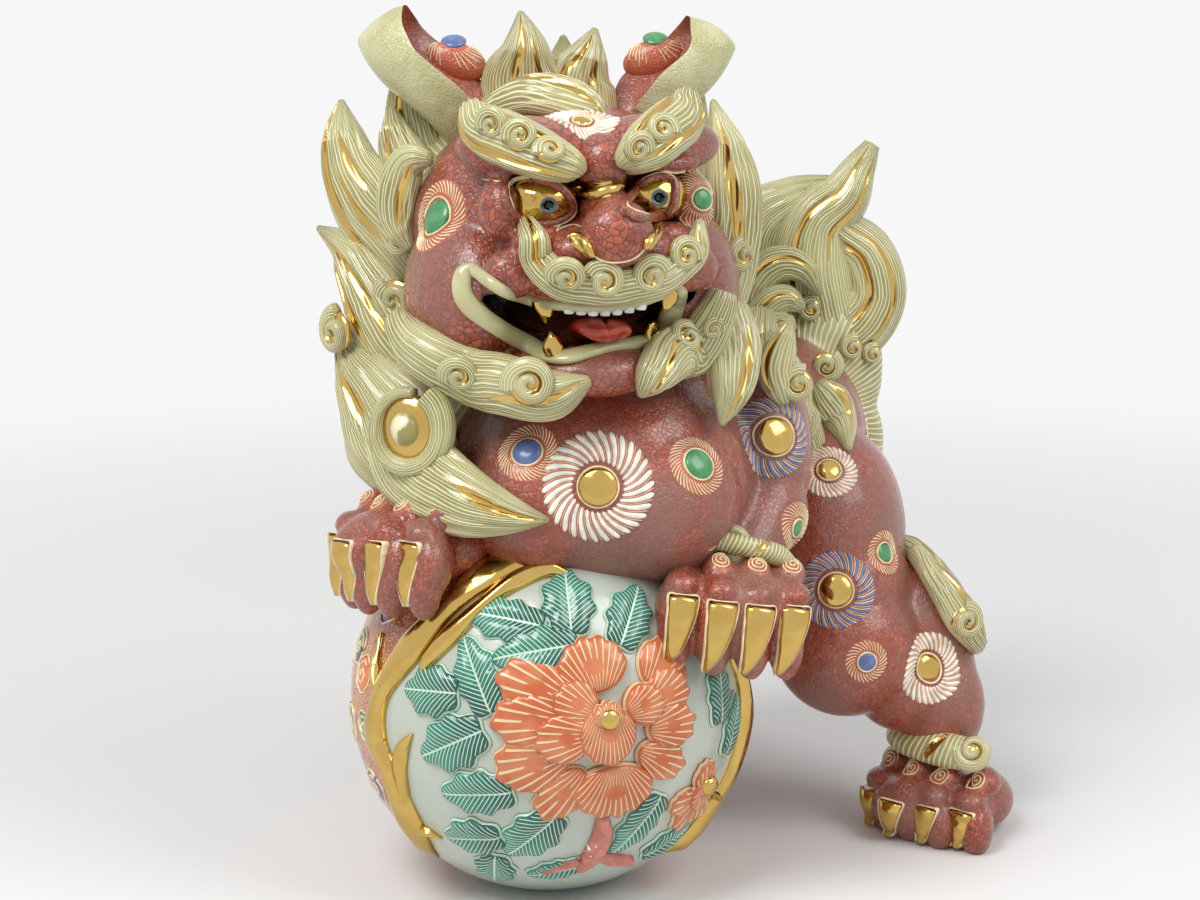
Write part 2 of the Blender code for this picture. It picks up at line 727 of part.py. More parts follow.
def fang(centre, point, radius):
    """A tooth as a cone from its root to its point."""
    length = (point - centre).length
    bpy.ops.mesh.primitive_cone_add(vertices=7, radius1=radius, radius2=0.0006, depth=length)
    tooth = bpy.context.object
    tooth.data.transform(Matrix.Translation((0, 0, length / 2)))
    tooth.data.transform((point - centre).to_track_quat("Z", "Y").to_matrix().to_4x4())
    tooth.data.transform(Matrix.Translation(centre))
    return tooth


def take(obj, name):
    """Moves a primitive into the figure's own collection, under its own name."""
    for group in list(obj.users_collection):
        group.objects.unlink(obj)
    FIGURE.objects.link(obj)
    obj.name = name
    return obj


def make_teeth():
    drop = FANG_LENGTH
    row = [lump(head_at(x, -71 + abs(x) * 0.35, -20), (5, 5, 5)) for x in (-15, -9, -3, 3, 9, 15)]
    settle(clay("upper_teeth", row, 1.2, 1, 110), "white_glaze", WHITE_GLAZE)
    for side, word in ((-1, "right"), (1, "left")):
        root = head_at(side * 26, -63, -17)
        tooth = take(fang(root, root - Vector((0, 0, drop)), 5 * MM), f"upper_fang_{word}")
        settle(tooth, "gilt", GILT)
        root = head_at(side * 31, -52, -40)
        tooth = take(fang(root, root + Vector((0, 0, drop)), 5 * MM), f"lower_fang_{word}")
        settle(tooth, "gilt", GILT)
    tongue = [
        lump(head_at(0, -44, -33), (17, 24, 6), HEAD_TURN),
        lump(head_at(0, -60, -34), (13, 11, 5), HEAD_TURN),
    ]
    settle(clay("tongue", tongue, 1.8, 3, 90), "tongue_red", TONGUE_RED)


def make_mane():
    """Locks round the face and down the neck, pressed in moulds and luted on one by one."""
    collar = [
        lump(mane_at(-12, 42, -6), (82, 40, 76)),
        lump(mane_at(-8, 62, -30), (66, 40, 66)),
        lump(mane_at(-60, 16, -72), (30, 30, 32)),
    ]
    settle(clay("mane_collar", collar, 4.5, 6, 140), "cream_glaze", CREAM_GLAZE)
    front, rear = (-0.35, -1, 0), (0.1, 1, 0.1)
    flames = {
        "crest_middle": (
            [(-16, 38, 46), (-22, 42, 72), (-21, 40, 90), (-23, 40, 106)], [17, 20, 11, 1], 20, (0, -1, 0)),
        "crest_left": (
            [(8, 44, 44), (4, 45, 70), (8, 45, 85), (12, 44, 98)], [16, 17, 10, 1], 18, (0, -1, 0)),
        "forelock": (
            [(-36, 10, 60), (-18, -2, 69), (2, -6, 67), (16, -8, 57)], [7, 12, 12, 4], 17, (0, -0.6, 1)),
        "mane_right_upper": (
            [(-70, 24, -14), (-84, 31, 8), (-95, 37, 34), (-107, 44, 66)], [18, 24, 18, 1], 22, front),
        "mane_right_middle": (
            [(-64, 12, -64), (-80, 20, -46), (-92, 27, -26), (-103, 34, -10), (-121, 44, 6)],
            [18, 24, 20, 12, 1], 22, front),
        "mane_right_lower": (
            [(-66, -16, -102), (-80, -8, -84), (-92, 6, -66), (-108, 26, -46)], [22, 28, 20, 4], 24, front),
        "chest_lock_right": (
            [(-80, -22, -78), (-64, -44, -96), (-46, -61, -105), (-28, -67, -109), (-8, -66, -110)],
            [14, 22, 17, 10, 1], 17, (-0.5, -1, 0.2)),
        "mane_left_upper": (
            [(68, 16, -34), (74, 20, -10), (76, 24, 14), (74, 28, 36), (66, 32, 66)],
            [12, 15, 15, 12, 1], 18, (0.6, -1, 0)),
        "mane_left_lower": (
            [(70, -6, -24), (74, -20, -41), (73, -34, -57), (68, -41, -74)], [12, 15, 11, 1], 15,
            (0.6, -1, 0.1)),
        "shoulder_lock_left": (
            [(106, 42, -110), (106, 46, -88), (102, 56, -68), (94, 66, -50)], [14, 17, 14, 4], 20,
            (0.6, -1, 0.1)),
        "nape_upper": (
            [(-2, 98, -16), (-3, 112, 22), (-4, 116, 56), (-4, 108, 92)], [26, 32, 20, 1], 20, rear),
        "nape_lower_right": (
            [(-28, 88, -16), (-42, 104, -44), (-56, 108, -72), (-74, 104, -106)], [24, 34, 25, 1], 22, rear),
        "nape_lower_left": (
            [(18, 92, -18), (34, 108, -46), (48, 114, -74), (68, 118, -106)], [24, 34, 25, 1], 22, rear),
    }
    for name, (path, halves, thickness, facing) in flames.items():
        points = [mane_at(*place) for place in path]
        tips = [half * HEAD_SCALE for half in halves]
        flame = lock(name, points, tips, thickness, facing)
        if name == "nape_upper":
            for side in (-1, 1):
                path = [(22, 90, -12), (36, 98, 14), (50, 96, 44), (62, 80, 74)]
                points = [mane_at(side * x, y, z) for x, y, z in path]
                flame = join(flame, lock("flame", points, [24, 30, 20, 1], 20, rear))
        if name == "mane_right_upper":
            path = [(-58, 30, 4), (-68, 38, 34), (-74, 44, 64), (-70, 50, 97)]
            points = [mane_at(*place) for place in path]
            flame = join(flame, lock("flame", points, [16, 20, 15, 1], 18, front))
            flame = join(flame, curl("knob", mane_at(-80, 14, 20), 12, (-0.4, -1, 0)))
        if name == "mane_right_middle":
            flame = join(flame, curl("knob", mane_at(-80, 8, -24), 11, (-0.4, -1, 0)))
        if name == "mane_right_lower":
            flame = join(flame, curl("knob", mane_at(-73, -32, -78), 22, (-0.4, -1, 0.1), 1.3, 12, 6))
        if name == "shoulder_lock_left":
            flame = join(flame, curl("knob", mane_at(106, 36, -82), 11, (0.6, -1, 0.1)))
        settle(thinned(flame, 150), "cream_glaze", CREAM_GLAZE)


def make_beard():
    sides = {
        "beard_right": (
            [(-74, 0, -24), (-66, -24, -42), (-46, -46, -55), (-14, -62, -58)], [12, 17, 16, 6]),
        "beard_left": (
            [(74, 0, -22), (66, -24, -40), (48, -46, -53), (22, -60, -56)], [11, 15, 14, 6]),
    }
    for name, (path, halves) in sides.items():
        points = [head_at(*place) for place in path]
        side = -1 if name == "beard_right" else 1
        fringe = lock(name, points, halves, 22, (side * 0.5, -1, -0.3), 6, 7, FLAT)
        for i, share in enumerate((0.38, 0.72)):
            middle = smooth_line(points, share) + at(side * 4, -8, -2)
            fringe = join(fringe, curl("knob", middle, 12 - 2 * i, (side * 0.5, -1, -0.2), 1, 8, 4))
        settle(thinned(fringe, 130), "cream_glaze", CREAM_GLAZE)


def make_tufts():
    """Cream tufts on the wrists, ankles and hocks."""
    bands = {
        "wrist_tuft_left": (FRONT_LEFT_PLACE, [(-30, 24, 2), (-14, 8, 4), (6, 4, 4), (28, 16, 1)]),
        "ankle_tuft_left": (standing(LEFT_HIND_PAW, -40), ANKLE_PATH),
        "ankle_tuft_right": (standing(RIGHT_HIND_PAW, -20), ANKLE_PATH),
    }
    for name, (place, path) in bands.items():
        points = [place @ (at(*spot) + Vector((0, 0, PAW_HEIGHT + 4 * MM))) for spot in path]
        front = place.to_3x3() @ Vector((0.2, -1, 0.7))
        halves = [5] + [9] * (len(path) - 2) + [6]
        settle(lock(name, points, halves, 13, front), "cream_glaze", CREAM_GLAZE)
    points = [LEFT_HOCK + at(*spot) for spot in [(-6, 16, 45), (12, 12, 33), (29, 8, 13), (32, 4, -9)]]
    tuft = lock("hock_tuft_left", points, [3, 9, 12, 6], 14, (1, -0.6, 0.3))
    settle(tuft, "cream_glaze", CREAM_GLAZE)


def make_tail():
    """The tail's plume, pressed in two halves over a cast root."""
    root = [
        lump(RUMP + at(28, 28, 30), (37, 26, 50)),
        lump(RUMP + at(38, 24, -8), (28, 22, 34)),
        lump(RUMP + at(14, 16, 26), (30, 24, 30)),
    ]
    settle(clay("tail_root", root, 3.6, 4, 140), "cream_glaze", CREAM_GLAZE)
    flames = {
        "tail_plume": (
            [(24, 30, 50), (16, 32, 76), (14, 33, 100), (26, 33, 124), (40, 31, 136), (54, 28, 147)],
            [30, 38, 36, 26, 15, 3], 30),
        "tail_side": (
            [(34, 24, 36), (52, 24, 42), (62, 26, 60), (60, 28, 82), (44, 28, 100)], [16, 22, 18, 15, 4], 28),
        "tail_fold": (
            [(-4, -22, 66), (-4, -38, 46), (6, -48, 24), (18, -52, 2), (24, -52, -14)],
            [8, 18, 20, 15, 2], 24),
    }
    for name, (path, halves, thickness) in flames.items():
        points = [RUMP + at(*place) for place in path]
        flame = lock(name, points, halves, thickness, (0.1, -1, 0), 8, 8)
        if name == "tail_plume":
            flame = join(flame, curl("knob", RUMP + at(12, 14, 92), 15, (0, -1, 0.1)))
        if name == "tail_fold":
            flame = join(flame, curl("knob", RUMP + at(-2, -50, 44), 13, (0, -1, 0.2)))
            flame = join(flame, curl("knob", RUMP + at(14, -60, 18), 12, (0.2, -1, 0.2)))
        settle(thinned(flame, 150), "cream_glaze", CREAM_GLAZE)


# Sprigs on the ball: peony, bud, stem, leaves and the gilt ribbon


def disc_on_ball(name, longitude, latitude, half_long, half_wide, turn, lift):
    """A pillow-shaped sprig lying on the ball, its length turned from straight up."""
    bm = bmesh.new()
    bmesh.ops.create_uvsphere(bm, u_segments=7, v_segments=4, radius=1)
    mesh = bpy.data.meshes.new(name)
    bm.to_mesh(mesh)
    bm.free()
    mesh.transform(Matrix.Diagonal((half_wide, half_long, RELIEF, 1)))
    mesh.transform(Matrix.Rotation(math.radians(turn), 4, "Z"))
    out = (ball_at(longitude, latitude) - BALL_CENTRE).normalized()
    mesh.transform(out.to_track_quat("Z", "Y").to_matrix().to_4x4())
    mesh.transform(Matrix.Translation(ball_at(longitude, latitude, lift)))
    return mesh_object(name, mesh)


def spot_on_ball(longitude, latitude, reach, turn):
    """Longitude and latitude of a point that lies reach metres from another on the ball."""
    angle, step = math.radians(turn), math.degrees(reach / BALL_RADIUS)
    up = latitude + step * math.cos(angle)
    return longitude - step * math.sin(angle) / math.cos(math.radians(latitude)), up


def make_bloom():
    lon, lat = 16, 6
    bloom = disc_on_ball("peony", lon, lat, BLOOM_RADIUS * 0.62, BLOOM_RADIUS * 0.7, 0, 0.001)
    for petal in range(8):
        turn = 45 * petal
        reach = BLOOM_RADIUS * (0.66 if petal % 4 else 0.56)
        spot = spot_on_ball(lon, lat, reach, turn)
        leaf = disc_on_ball("petal", *spot, BLOOM_RADIUS * 0.42, BLOOM_RADIUS * 0.40, turn, 0)
        bloom = join(bloom, leaf)
    heart = disc_on_ball("petal", lon, lat + 3, BLOOM_RADIUS * 0.3, BLOOM_RADIUS * 0.3, 0, 0.005)
    bloom = join(bloom, heart)
    stem = disc_on_ball("stem", 20, -27, 0.019, 0.009, 0, -0.001)
    settle(thinned(join(bloom, stem), 260), "bloom_orange", BLOOM_ORANGE)
    bud = disc_on_ball("peony_bud", 52, -18, 0.017, 0.014, 25, 0.001)
    knob = disc_on_ball("petal", 54, -15, 0.007, 0.006, 0, 0.005)
    settle(thinned(join(bud, knob), 60), "bloom_orange", BLOOM_ORANGE)


def make_leaves():
    """Lobed leaves pressed on in sprays round the bloom: longitude, latitude and turn of each."""
    sprays = {
        "leaves_top": [
            (9, 42, 10), (-1, 30, 70), (-12, 37, 75), (1, 36, 40), (20, 36, -70), (31, 36, -40)],
        "leaves_right": [
            (-33, 15, 80), (-20, 19, 20), (-27, 11, 90), (-25, 2, 120), (-22, -6, 20), (-18, -11, 115),
            (-19, -19, 130), (-20, -27, 140), (-4, -24, 150)],
        "leaves_low": [(30, -22, 160), (34, -32, 120), (44, -34, 140), (20, -40, 110), (5, -39, 110)],
        "leaves_left": [(60, 8, -30), (67, -2, -10)],
    }
    for name, leaves in sprays.items():
        lon, lat, turn = leaves[0]
        spray = disc_on_ball(name, lon, lat, LEAF_LENGTH / 2, LEAF_LENGTH * 0.32, turn, -0.0015)
        for lon, lat, turn in leaves[1:]:
            leaf = disc_on_ball("leaf", lon, lat, LEAF_LENGTH / 2, LEAF_LENGTH * 0.32, turn, -0.001)
            spray = join(spray, leaf)
        settle(thinned(spray, 26 * len(leaves)), "leaf_green", LEAF_GREEN)


def make_ribbon():
    """The gilt cloud band that parts the white panel from the patterned back."""
    bands = {
        "ribbon_right": [
            (2, 53), (-14, 53), (-26, 49), (-35, 38), (-44, 25), (-53, 10), (-54, -3), (-48, -12),
            (-47, -28), (-51, -44)],
        "ribbon_left": [(80, 30), (76, 12), (80, -4), (76, -20), (66, -36), (58, -46)],
    }
    for name, route in bands.items():
        points = [ball_at(lon, lat, 0.0005) for lon, lat in route]
        halves = [2.5] + [RIBBON_WIDTH / MM / 2] * (len(route) - 2) + [2.5]
        middle = points[len(points) // 2]
        band = lock(name, points, halves, 9, middle - BALL_CENTRE, 6, 13, FLAT)
        settle(band, "gilt", GILT)


def stand_on_origin():
    """Moves the whole figure so that the origin is below the middle of its box."""
    corners = [v.co for obj, _, _ in SETTLED for v in obj.data.vertices]
    low = Vector([min(c[i] for c in corners) for i in range(3)])
    high = Vector([max(c[i] for c in corners) for i in range(3)])
    middle = (low + high) / 2
    for obj, space, _ in SETTLED:
        obj.data.transform(Matrix.Translation((-middle.x, -middle.y, -low.z)))
        bpy.data.objects.remove(space)


make_ball()
make_head()
make_torso()
make_hind_legs()
make_forelegs()
make_jaw()
make_lips()
make_eyes()
make_brows()
make_moustache()
make_teeth()
make_ears()
make_beard()
make_mane()
make_forepaws()
make_tufts()
make_tail()
make_bloom()
make_leaves()
make_ribbon()
stand_on_origin()
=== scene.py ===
import math

import bpy
import numpy as np
from mathutils import Matrix, Vector
from mathutils.bvhtree import BVHTree


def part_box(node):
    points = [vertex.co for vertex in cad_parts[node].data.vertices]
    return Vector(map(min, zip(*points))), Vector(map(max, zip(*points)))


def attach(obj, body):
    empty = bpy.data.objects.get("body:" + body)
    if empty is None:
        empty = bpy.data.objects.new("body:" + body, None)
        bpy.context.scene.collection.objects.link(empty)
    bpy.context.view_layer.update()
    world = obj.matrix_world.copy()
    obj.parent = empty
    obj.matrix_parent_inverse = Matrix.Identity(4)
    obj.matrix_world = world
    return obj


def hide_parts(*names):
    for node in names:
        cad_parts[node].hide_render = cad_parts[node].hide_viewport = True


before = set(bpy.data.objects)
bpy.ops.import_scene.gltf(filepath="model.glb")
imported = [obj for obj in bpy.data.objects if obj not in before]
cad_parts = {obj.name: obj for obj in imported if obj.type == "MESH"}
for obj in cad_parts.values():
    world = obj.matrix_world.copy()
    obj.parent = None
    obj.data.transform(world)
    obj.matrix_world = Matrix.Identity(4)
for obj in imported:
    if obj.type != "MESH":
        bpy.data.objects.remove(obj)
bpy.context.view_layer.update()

# The ball is a slip casting in white porcelain under a pearly glaze, wiped flat where it
# stands and drained through a hole in its foot. Its back half, outside the gilt ribbon, is
# filled in by brush with a stippled orange ground.
MM = 0.001
FOOT_RADIUS = 30 * MM
DRAIN_RADIUS = 9 * MM
DRAIN_DEPTH = 12 * MM
FOOT_LEVEL = 0.1 * MM
FOOT_LATITUDE = 62
low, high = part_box("ball")
BALL_RADIUS = (high.x - low.x) / 2
BALL_MIDDLE = Vector(((low.x + high.x) / 2, (low.y + high.y) / 2, high.z - BALL_RADIUS))
RIBBON_RIGHT = [(4, 56), (-14, 54), (-26, 50), (-36, 38), (-45, 25), (-53, 10), (-55, -3)]
RIBBON_RIGHT += [(-49, -12), (-48, -28), (-50, -46)]
RIBBON_LEFT = [(80, 30), (76, 12), (80, -4), (76, -20), (66, -36), (58, -46)]


def place(x, y, z):
    """A point in millimetres, measured from the table under the figure's chest."""
    return Vector((BALL_MIDDLE.x + (x + 25) * MM, BALL_MIDDLE.y + (y + 27) * MM, z * MM))


def begin():
    """Nothing selected, so that the next operator acts on the new primitive alone."""
    bpy.ops.object.select_all(action="DESELECT")


def points_of(piece):
    co = np.zeros(len(piece.data.vertices) * 3)
    piece.data.vertices.foreach_get("co", co)
    return co.reshape(-1, 3)


def move_points(piece, co):
    piece.data.vertices.foreach_set("co", np.asarray(co, np.float32).ravel())
    piece.data.update()


def mark(piece, name, values):
    """Keeps one number for each point of the piece, for its material to read."""
    attribute = piece.data.attributes.get(name)
    if attribute is None:
        attribute = piece.data.attributes.new(name, "FLOAT", "POINT")
    attribute.data.foreach_set("value", np.asarray(values, np.float32))


def joined(pieces):
    """Makes several pieces into the first of them."""
    begin()
    for piece in pieces:
        piece.select_set(True)
    bpy.context.view_layer.objects.active = pieces[0]
    if len(pieces) > 1:
        bpy.ops.object.join()
    return bpy.context.object


def finished(piece, name, material, slot, nodes=()):
    """Names a piece, or several made into one, gives it its glaze and seats it on the figure."""
    if isinstance(piece, list):
        piece = joined(piece)
    piece.name = piece.data.name = name
    if material is not None:
        piece.data.materials.clear()
        piece.data.materials.append(material)
    piece.data.polygons.foreach_set("use_smooth", [True] * len(piece.data.polygons))
    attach(piece, "root")
    if nodes:
        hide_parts(*nodes)
    return piece


def node(tree, kind, ins=None, **settings):
    """Adds a shader node, with its inputs set to values or linked to other sockets."""
    made = tree.nodes.new(kind)
    for key, value in settings.items():
        setattr(made, key, value)
    for key, value in (ins or {}).items():
        if isinstance(value, bpy.types.NodeSocket):
            tree.links.new(value, made.inputs[key])
        else:
            made.inputs[key].default_value = value
    return made


def maths(tree, operation, a, b=0.0, c=0.0):
    return node(tree, "ShaderNodeMath", {0: a, 1: b, 2: c}, operation=operation).outputs[0]


def times(tree, a, b):
    return maths(tree, "MULTIPLY", a, b)


def near_line(tree, value):
    """How far a value is from the middle between two whole numbers."""
    return maths(tree, "ABSOLUTE", maths(tree, "SUBTRACT", maths(tree, "FRACT", value), 0.5))


def blend(tree, share, first, second):
    made = node(tree, "ShaderNodeMix", {0: share, 6: first, 7: second}, data_type="RGBA")
    return made.outputs[2]


def step(tree, value, low, high, start=0.0, end=1.0):
    """Goes softly from start to end as value goes from low to high."""
    ins = {"Value": value, "From Min": low, "From Max": high, "To Min": start, "To Max": end}
    return node(tree, "ShaderNodeMapRange", ins, interpolation_type="SMOOTHSTEP").outputs[0]


def new_glaze(name, roughness, coat=0.0):
    material = bpy.data.materials.new(name)
    material.use_nodes = True
    tree = material.node_tree
    shader = tree.nodes["Principled BSDF"]
    shader.inputs["Roughness"].default_value = roughness
    shader.inputs["Coat Weight"].default_value = coat
    shader.inputs["Coat Roughness"].default_value = 0.08
    return material, tree, shader


def spots(tree):
    return node(tree, "ShaderNodeTexCoord").outputs["Object"]


def noise(tree, scale, detail=2.0, where=None):
    ins = {"Vector": where or spots(tree), "Scale": scale, "Detail": detail}
    return node(tree, "ShaderNodeTexNoise", ins).outputs[0]


def read_mark(tree, name):
    return node(tree, "ShaderNodeAttribute", attribute_name=name).outputs["Fac"]


def link(tree, value, shader, socket):
    tree.links.new(value, shader.inputs[socket])


def relief(tree, shader, height, depth, strength):
    ins = {"Height": height, "Distance": depth, "Strength": strength}
    link(tree, node(tree, "ShaderNodeBump", ins).outputs[0], shader, "Normal")


def ball_glaze():
    material, tree, shader = new_glaze("pearl_white_glaze", 0.2, 0.3)
    hammered = noise(tree, 130, 2)
    wash = noise(tree, 16, 3)
    white = blend(tree, wash, (0.43, 0.48, 0.42, 1), (0.56, 0.60, 0.52, 1))
    grains = node(tree, "ShaderNodeTexVoronoi", {"Vector": spots(tree), "Scale": 780.0})
    dots = step(tree, grains.outputs["Distance"], 0.30, 0.42)
    patches = step(tree, noise(tree, 42, 2), 0.46, 0.54)
    ground = blend(tree, patches, (0.40, 0.10, 0.045, 1), (0.50, 0.17, 0.07, 1))
    stipple = blend(tree, dots, (0.80, 0.56, 0.27, 1), ground)
    outside = step(tree, read_mark(tree, "patterned"), -0.004, 0.004)
    link(tree, blend(tree, outside, white, stipple), shader, "Base Color")
    grain = times(tree, dots, outside)
    height = maths(tree, "MULTIPLY_ADD", grain, -0.6, hammered)
    relief(tree, shader, height, 0.0006, 0.6)
    return material


begin()
bpy.ops.mesh.primitive_uv_sphere_add(
    segments=200, ring_count=120, radius=BALL_RADIUS, location=BALL_MIDDLE)
ball = bpy.context.object
bpy.ops.object.transform_apply(location=True, rotation=True, scale=True)
bpy.ops.object.mode_set(mode="EDIT")
bpy.ops.mesh.select_all(action="SELECT")
bpy.ops.mesh.bisect(
    plane_co=(0, 0, FOOT_LEVEL), plane_no=(0, 0, 1), clear_inner=True, use_fill=True)
bpy.ops.mesh.inset(thickness=FOOT_RADIUS - DRAIN_RADIUS, depth=0)
bpy.ops.mesh.extrude_region_move(TRANSFORM_OT_translate={"value": (0, 0, DRAIN_DEPTH)})
bpy.ops.object.mode_set(mode="OBJECT")


def curve_at(points, shares):
    """Places on the smooth curve through some points or numbers, at shares of its length."""
    points = np.asarray([tuple(p) if hasattr(p, "__len__") else p for p in points], float)
    spans = len(points) - 1
    where = np.clip(shares, 0, 1) * spans
    i = np.minimum(where.astype(int), spans - 1)
    t = where - i
    if points.ndim == 2:
        t = t[:, None]
    p0, p1 = points[np.maximum(i - 1, 0)], points[i]
    p2, p3 = points[i + 1], points[np.minimum(i + 2, spans)]
    bend = (2 * p0 - 5 * p1 + 4 * p2 - p3) * t**2 + (3 * p1 - 3 * p2 + p3 - p0) * t**3
    return 0.5 * (2 * p1 + (p2 - p0) * t + bend)


def ribbon_longitude(route, latitudes):
    """Longitude of the ribbon's middle line at each latitude."""
    line = curve_at([(lat, lon) for lon, lat in route], np.linspace(0, 1, 60))
    line = line[np.argsort(line[:, 0])]
    return np.interp(latitudes, line[:, 0], line[:, 1])


co = points_of(ball) - np.array(BALL_MIDDLE)
latitude = np.degrees(np.arcsin(np.clip(co[:, 2] / BALL_RADIUS, -1, 1)))
longitude = np.degrees(np.arctan2(co[:, 0], -co[:, 1]))
beyond_right = ribbon_longitude(RIBBON_RIGHT, latitude) - longitude
beyond_left = longitude - ribbon_longitude(RIBBON_LEFT, latitude)
under_foot = latitude + FOOT_LATITUDE
outside = np.minimum(np.maximum(beyond_right, beyond_left), under_foot)
mark(ball, "patterned", np.minimum(outside, FOOT_LATITUDE - latitude) / 30)
finished(ball, "ball", ball_glaze(), "white_glaze", ["ball"])


# The gilt ribbon is a pressed roll of clay that waves down both edges of the white panel,
# with forked ends like a cloud scroll. It is covered in bright liquid gold.


def on_ball(longitude, latitude, lift=0.0):
    """A point on the ball. Longitude 0 faces the front, and lift is in millimetres."""
    lon, lat = math.radians(longitude), math.radians(latitude)
    out = Vector((math.sin(lon) * math.cos(lat), -math.cos(lon) * math.cos(lat), math.sin(lat)))
    return BALL_MIDDLE + out * (BALL_RADIUS + lift * MM)


def gold_colour(tree):
    return blend(tree, noise(tree, 60, 3), (0.47, 0.30, 0.07, 1), (0.72, 0.50, 0.165, 1))


def gilt():
    material, tree, shader = new_glaze("bright_gold", 0.14)
    shader.inputs["Metallic"].default_value = 1.0
    link(tree, gold_colour(tree), shader, "Base Color")
    link(tree, step(tree, noise(tree, 220, 3), 0.35, 0.75, 0.10, 0.24), shader, "Roughness")
    relief(tree, shader, noise(tree, 140, 2), 0.0005, 0.25)
    return material


GOLD = gilt()
balls_of_clay = {}


def ball_of_clay(segments, rings):
    """A ball of clay 2 m across, modelled once at each fineness and then copied."""
    if (segments, rings) not in balls_of_clay:
        begin()
        bpy.ops.mesh.primitive_uv_sphere_add(segments=segments, ring_count=rings, radius=1)
        first = bpy.context.object
        balls_of_clay[segments, rings] = first.data.copy()
        bpy.data.objects.remove(first)
    made = bpy.data.objects.new("clay", balls_of_clay[segments, rings].copy())
    bpy.context.collection.objects.link(made)
    return made


def unit_rows(rows):
    """Brings each row's length to one."""
    return rows / np.linalg.norm(rows, axis=1)[:, None]


THINNEST = 0.25
TAPER = 1.7
CUP_RIM = 0.25
VALLEY_FALL = 1.4
SWAY, SWAYS = 2.2, 2.5
LINES_PER_WIDTH = 4.2


def flame(path, halves, thickness, facing, grooves=(), strands=0, ridge=0.0, detail=(48, 44),
          lines=1.35, cup=0.0, bound=0):
    """A drawn-out roll of clay: a sphere pulled along a path, flattened to its half widths and
    thickness in millimetres. Each groove is where it starts and ends along the roll, its place
    across at both ends, its half width and its depth. strands run along the roll, each a ridge
    that high, and lines is how wide its painted strands are. cup hollows the front, and bound
    is how many strands run across the roll, where they don't run along it."""
    roll = ball_of_clay(*detail)
    co = points_of(roll)
    along = np.arccos(np.clip(-co[:, 2], -1, 1)) / np.pi
    ring = np.hypot(co[:, 0], co[:, 1]) > 1e-4
    angle = np.arctan2(co[:, 1], co[:, 0])
    across, rise = np.where(ring, np.cos(angle), 0), np.where(ring, np.sin(angle), 0)
    middle = curve_at(path, along)
    ahead = unit_rows(curve_at(path, along + 0.01) - curve_at(path, along - 0.01))
    if isinstance(facing, list):
        front = curve_at(facing, along)
    else:
        front = np.tile(np.array(facing, float), (len(co), 1))
    side = unit_rows(np.cross(front, ahead))
    out = np.cross(ahead, side)
    half = np.maximum(curve_at(halves, along), THINNEST)
    taper = np.minimum(1, half / max(halves) * TAPER)
    high = thickness / 2 * taper * rise
    if cup:
        high = np.where(rise > 0, high * CUP_RIM - cup * taper * (1 - across**2), high)
    gilding = np.full(len(co), -1.0)
    for start, end, first, last, wide, deep in grooves:
        share = np.clip((along - start) / (end - start), 0, 1)
        window = np.sin(np.pi * share) ** 0.6
        line = first + (last - first) * share
        off = np.abs(across - line) / (wide * np.maximum(window, 0.05))
        inside = (rise > 0) & (window > 0.03)
        high -= np.where(inside, deep * window * np.exp(-VALLEY_FALL * off**2) * rise, 0)
        gilding = np.where(inside, np.maximum(gilding, (1 - off) * window), gilding)
    if strands:
        wave = np.cos(strands * np.pi * across + SWAY * np.sin(SWAYS * along * np.pi))
        high += np.where(rise > 0, ridge * wave * taper * np.minimum(1, 2.5 * rise), 0)
    half = half * MM
    co = middle + side * (half * across)[:, None] + out * (high * MM)[:, None]
    move_points(roll, co)
    mark(roll, "gilding", gilding)
    uv = roll.data.uv_layers.active.data
    values = np.zeros(len(uv) * 2)
    uv.foreach_get("uv", values)
    values = values.reshape(-1, 2)
    if bound:
        values[:, 0] = values[:, 1] * bound + values[:, 0] * 3
    else:
        values[:, 0] *= max(6, round(max(halves) * LINES_PER_WIDTH / lines))
    uv.foreach_set("uv", values.ravel())
    return roll


def band_on_ball(route, half, thickness, ends):
    """A pressed roll over the ball, wide and narrow by turns."""
    path = [on_ball(lon, lat, 0.6) for lon, lat in route]
    facing = [tuple((point - BALL_MIDDLE).normalized()) for point in path]
    waves = [half * (0.75 + 0.4 * (i % 2)) for i in range(len(path) - 2)]
    halves = [ends[0], *waves, ends[1]]
    return flame(path, halves, thickness, facing, detail=(20, 90), strands=1, ridge=0.5)


right_parts = [
    band_on_ball(RIBBON_RIGHT, 7.4, 10, (2, 0.6)),
    band_on_ball([(13, 50), (2, 52.5), (-12, 49), (-22, 41), (-31, 31), (-38, 20)], 4.4, 9, (0.5, 2)),
    band_on_ball([(-39, 2), (-42, -2), (-45, -9), (-45, -17), (-47, -25)], 4, 8, (0.5, 2)),
    band_on_ball([(-36, -32), (-41, -30), (-46, -31), (-50, -36)], 3, 7, (0.5, 1.5)),
    band_on_ball([(-62, 26), (-58, 16), (-54, 6), (-54, -3)], 3, 7, (0.5, 2)),
]
finished(right_parts, "ribbon_right", GOLD, "gilt", ["ribbon_right"])
left_parts = [
    band_on_ball(RIBBON_LEFT, 6.5, 10, (2, 0.6)),
    band_on_ball([(70, 24), (72, 16), (76, 8), (79, -2)], 3, 7, (0.5, 1.5)),
    band_on_ball([(62, -22), (68, -25), (72, -30), (68, -36)], 3, 7, (0.5, 1.5)),
]
finished(left_parts, "ribbon_left", GOLD, "gilt", ["ribbon_left"])


# Enamel clouds lie on the stippled back of the ball. Each is a flat lobed drop of coloured
# enamel with a raised cream scroll line round and inside it.
CLOUD_COLOURS = {
    "blue": (0.075, 0.085, 0.32), "navy": (0.012, 0.03, 0.055), "orange": (0.58, 0.13, 0.035),
    "green": (0.05, 0.22, 0.08), "white": (0.66, 0.63, 0.55),
}


